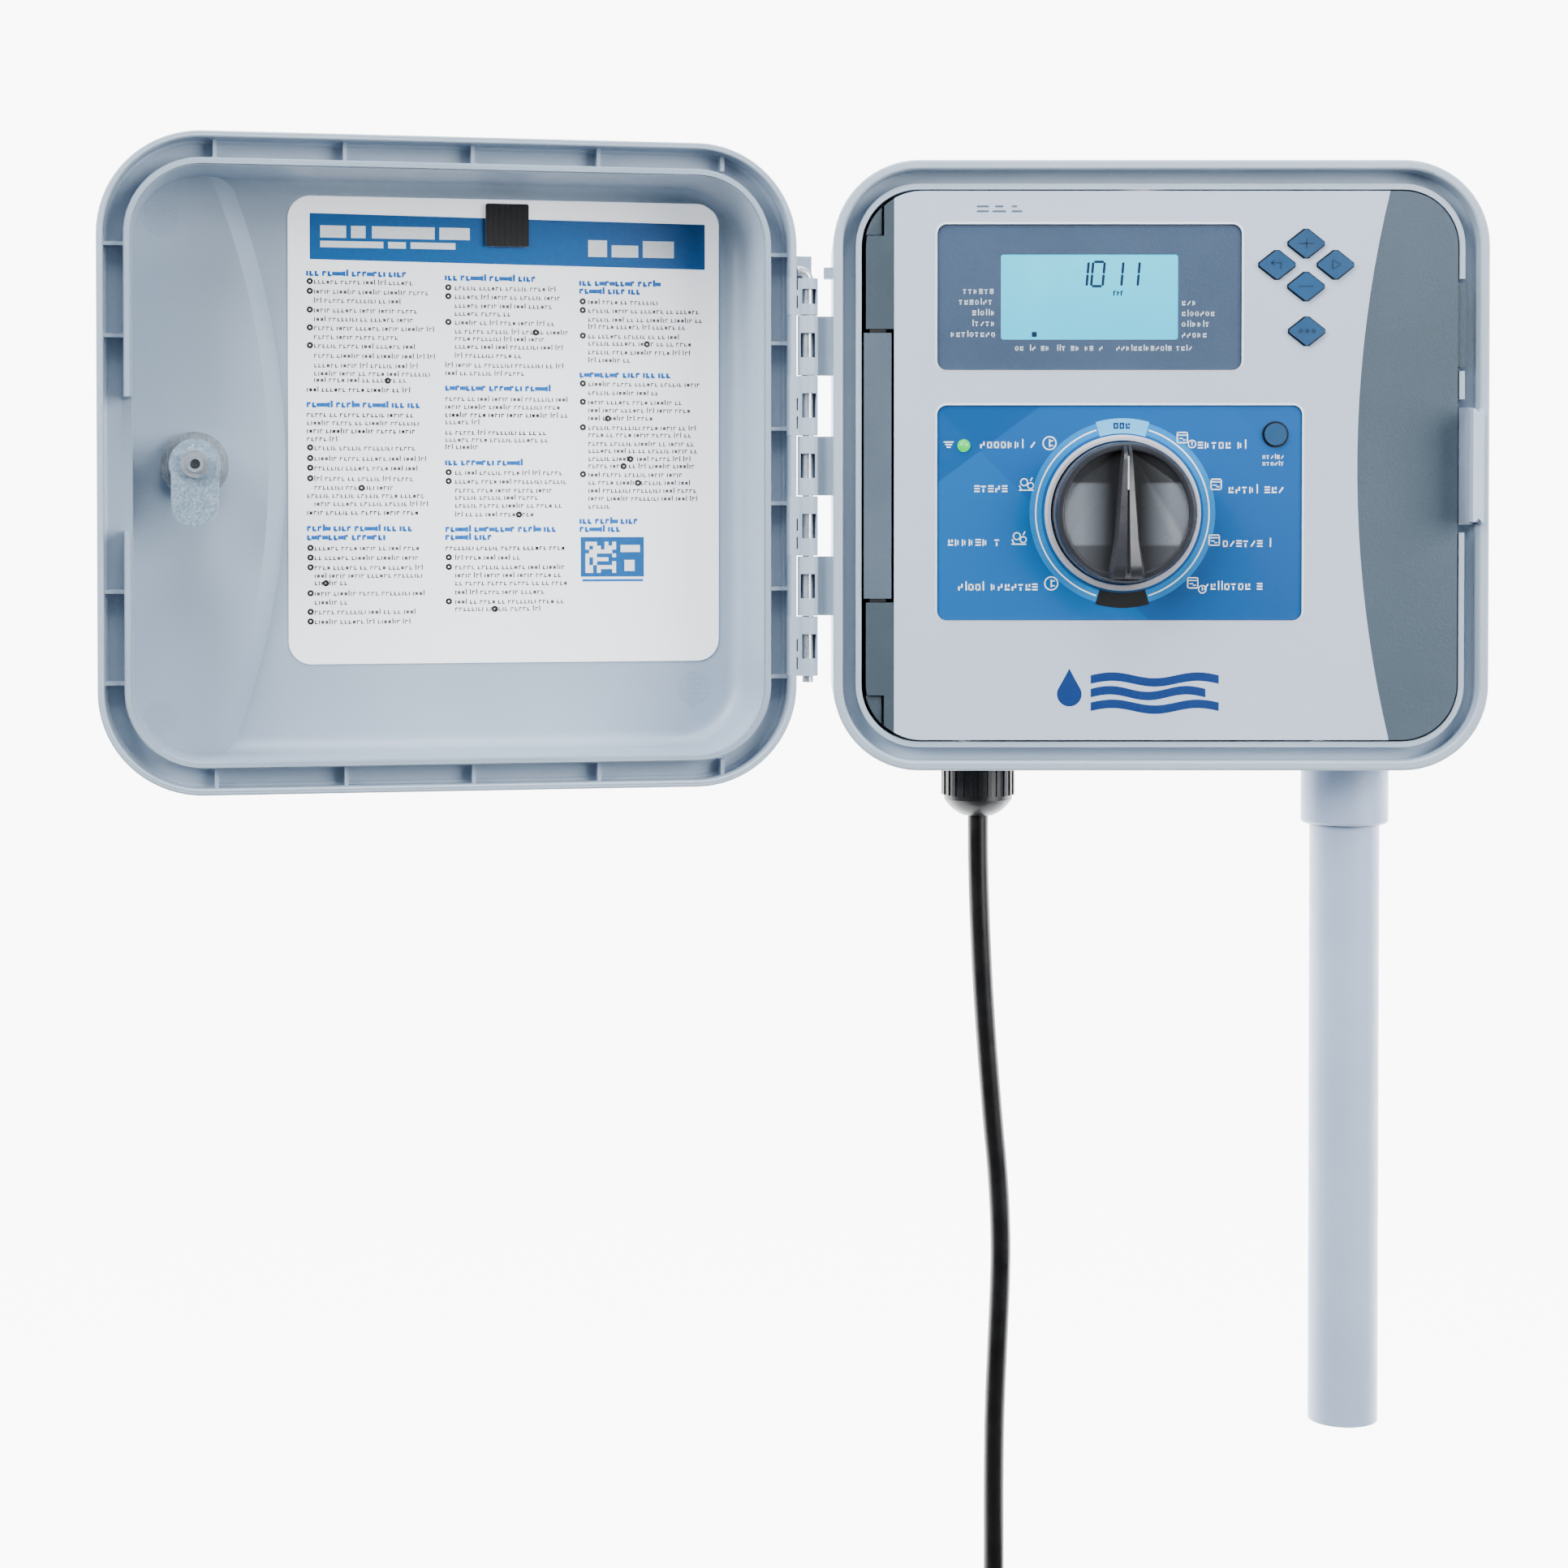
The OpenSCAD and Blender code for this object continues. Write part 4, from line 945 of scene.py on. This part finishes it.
textWords = wordSet(cardSettings["textSize"], (2, 3, 4, 4, 5, 5, 6, 6, 7, 8), 1.0)
headWords = wordSet(cardSettings["headSize"], (3, 4, 5, 6, 7, 8), 1.7)
bullet = ringAt(0, 0, 0.4, 1.2, 0, cardSettings["ink"], 20)
greyText, darkText, blueText, bullets = [], [], [], []
for (left, indent), kinds, rows in zip(cardSettings["columns"], cardKinds, cardRows):
    for kind, (down, end) in zip(kinds, rows):
        x0, y = cardAt(left if kind in "hp" else indent, down + 3.4)
        x1 = cardAt(end, down)[0]
        if kind == "h":
            blueText += wordRow(headWords, x0, x1, y, 0.9)
        elif kind == "p" and chance.random() < 0.45:
            darkText += wordRow(textWords, x0, x1, y, 0.7)
        else:
            greyText += wordRow(textWords, x0, x1, y, 0.7)
            if kind == "b":
                bullets += copies(bullet, [Matrix.Translation((*cardAt(left + 4, down), 0))])
            elif kind == "t" and chance.random() < 0.3:
                bx = x0 + chance.uniform(0.25, 0.8) * (x1 - x0)
                bullets += copies(bullet, [Matrix.Translation((bx, y + 0.8, 0.01))])
for source in [w for w, _ in textWords + headWords] + [bullet]:
    bpy.data.objects.remove(source)


def cardBlock(left, high, right, low, thick, slant=0.0):
    (x0, y0), (x1, y1) = cardAt(left, high), cardAt(right, low)
    return prism([(x0, y1), (x1, y1 - slant), (x1, y0 - slant), (x0, y0)], 0, thick)


band = cardBlock(367, 261, 866, 318, 0.06, 1.5)
badge = cardBlock(706, 661, 787, 711, 0.06)
whiteBits = [cardBlock(*b, 0.12) for b in (
    (380, 276, 412, 291), (418, 276, 436, 291), (444, 276, 522, 291), (528, 276, 566, 291), (380, 295, 458, 303),
    (464, 295, 486, 303), (492, 295, 548, 303), (716, 288, 740, 309), (746, 294, 780, 309), (786, 288, 826, 309),
    (757, 671, 782, 680), (762, 690, 775, 704))]
for row in range(8):
    for column in range(8):
        if chance.random() < 0.58 or (row in (0, 7) and column in (0, 7)):
            across, down = 712 + column * 4.9, 667 + row * 4.9
            whiteBits.append(cardBlock(across, down, across + 4.9, down + 4.9, 0.12))
underline = cardBlock(708, 714, 786, 717, 0.06)
for name, pieces, slot, ink, smooth in (
        ("card_band", [band, badge], "label_blue", "inkBlue", 40),
        ("card_white_marks", whiteBits, "card_white", "inkWhite", 40),
        ("card_headings", blueText + [underline], "label_blue", "inkHead", 0),
        ("card_text", greyText, "card_white", "inkGrey", 0),
        ("card_notes", darkText, "black_plastic", "inkDark", 0),
        ("card_bullets", bullets, "black_plastic", "inkBlack", 0)):
    settle(joined(name, [cardPlaced(p) for p in pieces]), "door", ink, onDoor=True, smooth=smooth)
print("card made")

# small details of the door and the panel
detailSettings = {
    "stippleRadius": 6.6,
    "stipplePlaces": [((104.8, 91.6), 98.3), ((106.0, -93.6), 98.3), ((-96.3, -85.4), 106.3)],
    "dotRadius": 0.34,
    "dotHeight": 0.16,
    "dotSpacing": 1.05,
}
dot = turned([(0, -0.05), (1, -0.05), (0.92, 0.45), (0.6, 0.85), (0, 1.0)], 10)
dots = []
spacing, reach = detailSettings["dotSpacing"], detailSettings["stippleRadius"]
for (x, y), height in detailSettings["stipplePlaces"]:
    for row in range(-7, 8):
        for column in range(-7, 8):
            dx, dy = spacing * (column + 0.5 * (row % 2)), spacing * 0.87 * row
            if math.hypot(dx, dy) < reach:
                size = detailSettings["dotRadius"]
                dots += copies(dot, [Matrix.Translation((x + dx, y + dy, height))
                                     @ Matrix.Diagonal((size, size, -detailSettings["dotHeight"], 1))])
bpy.data.objects.remove(dot)
stipple = tidied(joined("door_stipple", dots))
settle(stipple, "door", "door", onDoor=True, smooth=60)

# pale bevel that frames the display and the dial label, standing a little proud of the panel
frameSettings = {
    "band": 0.8,
    "radius": 3.6,
    "heights": (63.02, 63.28),
    "thick": 0.25,
    "places": {"display_frame": (113.9, 54.5, (-26.65, 63.05)), "label_frame": (136.6, 80.6, (-15.3, -17.6))},
}


def frameBand(name, width, height, centre):
    band, radius, (low, high) = frameSettings["band"], frameSettings["radius"], frameSettings["heights"]

    def rounded(w, h, r):
        points = []
        for cx, cy, a0 in ((w / 2 - r, h / 2 - r, 0), (r - w / 2, h / 2 - r, 90), (r - w / 2, r - h / 2, 180),
                           (w / 2 - r, r - h / 2, 270)):
            for k in range(9):
                a = math.radians(a0 + 11.25 * k)
                points.append((centre[0] + cx + r * math.cos(a), centre[1] + cy + r * math.sin(a)))
        return points

    outer = rounded(width + 2 * band, height + 2 * band, radius + band)
    inner = rounded(width, height, radius)
    count = len(outer)
    clearSelection()
    bpy.ops.mesh.primitive_grid_add(x_subdivisions=count, y_subdivisions=1, size=2)
    piece = bpy.context.object
    rows = sorted(piece.data.vertices, key=lambda v: (v.co.y, v.co.x))
    for k, vertex in enumerate(rows[:count + 1]):
        vertex.co = (*outer[k % count], low)
    for k, vertex in enumerate(rows[count + 1:]):
        vertex.co = (*inner[k % count], high)
    tidied(piece)
    pushed(-frameSettings["thick"])
    tidied(piece)
    piece.name = name
    return piece


frames = [frameBand(name, *place) for name, place in frameSettings["places"].items()]
settle(joined("panel_frames", frames), "control_panel", "panelEdge", smooth=50)

# fixed corner fillets that carry the wing's outline past the swing of the panel
cornerSettings = {"centre": (-90.5, 82), "radius": 20.2, "right": -104.2, "from": 86.3, "low": 56.5, "high": 61.2}
corners = []
for side in (1, -1):
    (cx, cy), radius, right = cornerSettings["centre"], cornerSettings["radius"], cornerSettings["right"]
    first = math.asin((cornerSettings["from"] - cy) / radius)
    last = math.acos((cx - right) / radius)
    angles = [first + (last - first) * k / 14 for k in range(15)]
    arc = [(cx - radius * math.cos(a), side * (cy + radius * math.sin(a))) for a in angles]
    corners.append(prism(arc + [(right, side * cornerSettings["from"])], cornerSettings["low"],
                         cornerSettings["high"]))
cornerFill = bevelled(joined("wing_corners", corners), 0.25, 3)
settle(cornerFill, "cabinet", "wing")
print("details made")

# studio: a pale floor that runs into a bright background, and soft lights
studioSettings = {
    "floorHeight": -0.66,
    "backGlow": 9.5,
    "floorGlow": 6.2,
    "frontGlow": 0.16,
    "lights": {
        "key": ((-1.5, -1.25, 0.9), (-0.12, -0.05, -0.05), 1.1, 74),
        "fill": ((1.35, -1.2, 0.35), (-0.1, -0.05, -0.05), 1.2, 60),
        "top": ((-0.15, -0.75, 1.5), (-0.12, -0.05, -0.05), 1.0, 34),
    },
}
clearSelection()
bpy.ops.mesh.primitive_plane_add(size=1, location=(0, 0, studioSettings["floorHeight"]))
floor = bpy.context.object
floor.name = "studio_floor"
bpy.ops.object.mode_set(mode="EDIT")
bpy.ops.transform.resize(value=(14, 7, 1))
bpy.ops.transform.translate(value=(0, 3.4, 0))
bpy.ops.object.mode_set(mode="OBJECT")
paper, paperTree, paperShader, paperPlace = newFinish("studio_paper", 0.9)
paperAxes = addNode(paperTree, "SeparateXYZ", {"Vector": paperPlace}).outputs
paperShader.inputs["Base Color"].default_value = linear("#f4f5f6")
paperShader.inputs["Emission Color"].default_value = linear("#ffffff")
paperTree.links.new(spread(paperTree, paperAxes["Y"], 0, studioSettings["floorGlow"], 0.15, 0.6),
                    paperShader.inputs["Emission Strength"])
floor.data.materials.append(paper)
for name, (place, target, size, power) in studioSettings["lights"].items():
    lamp = bpy.data.lights.new(name, "AREA")
    lamp.size = size
    lamp.energy = power
    holder = bpy.data.objects.new(name, lamp)
    holder.location = place
    holder.rotation_euler = (Vector(target) - Vector(place)).to_track_quat("-Z", "Y").to_euler()
    bpy.context.collection.objects.link(holder)
world = bpy.data.worlds.new("studio")
world.use_nodes = True
sky = world.node_tree.nodes["Background"]
sky.inputs["Color"].default_value = linear("#ffffff")
direction = addNode(world.node_tree, "SeparateXYZ", {
    "Vector": addNode(world.node_tree, "TexCoord").outputs["Generated"]}).outputs["Y"]
world.node_tree.links.new(spread(world.node_tree, direction, studioSettings["frontGlow"], studioSettings["backGlow"],
                                 0.1, 0.45), sky.inputs["Strength"])
bpy.context.scene.world = world
print("studio lit")
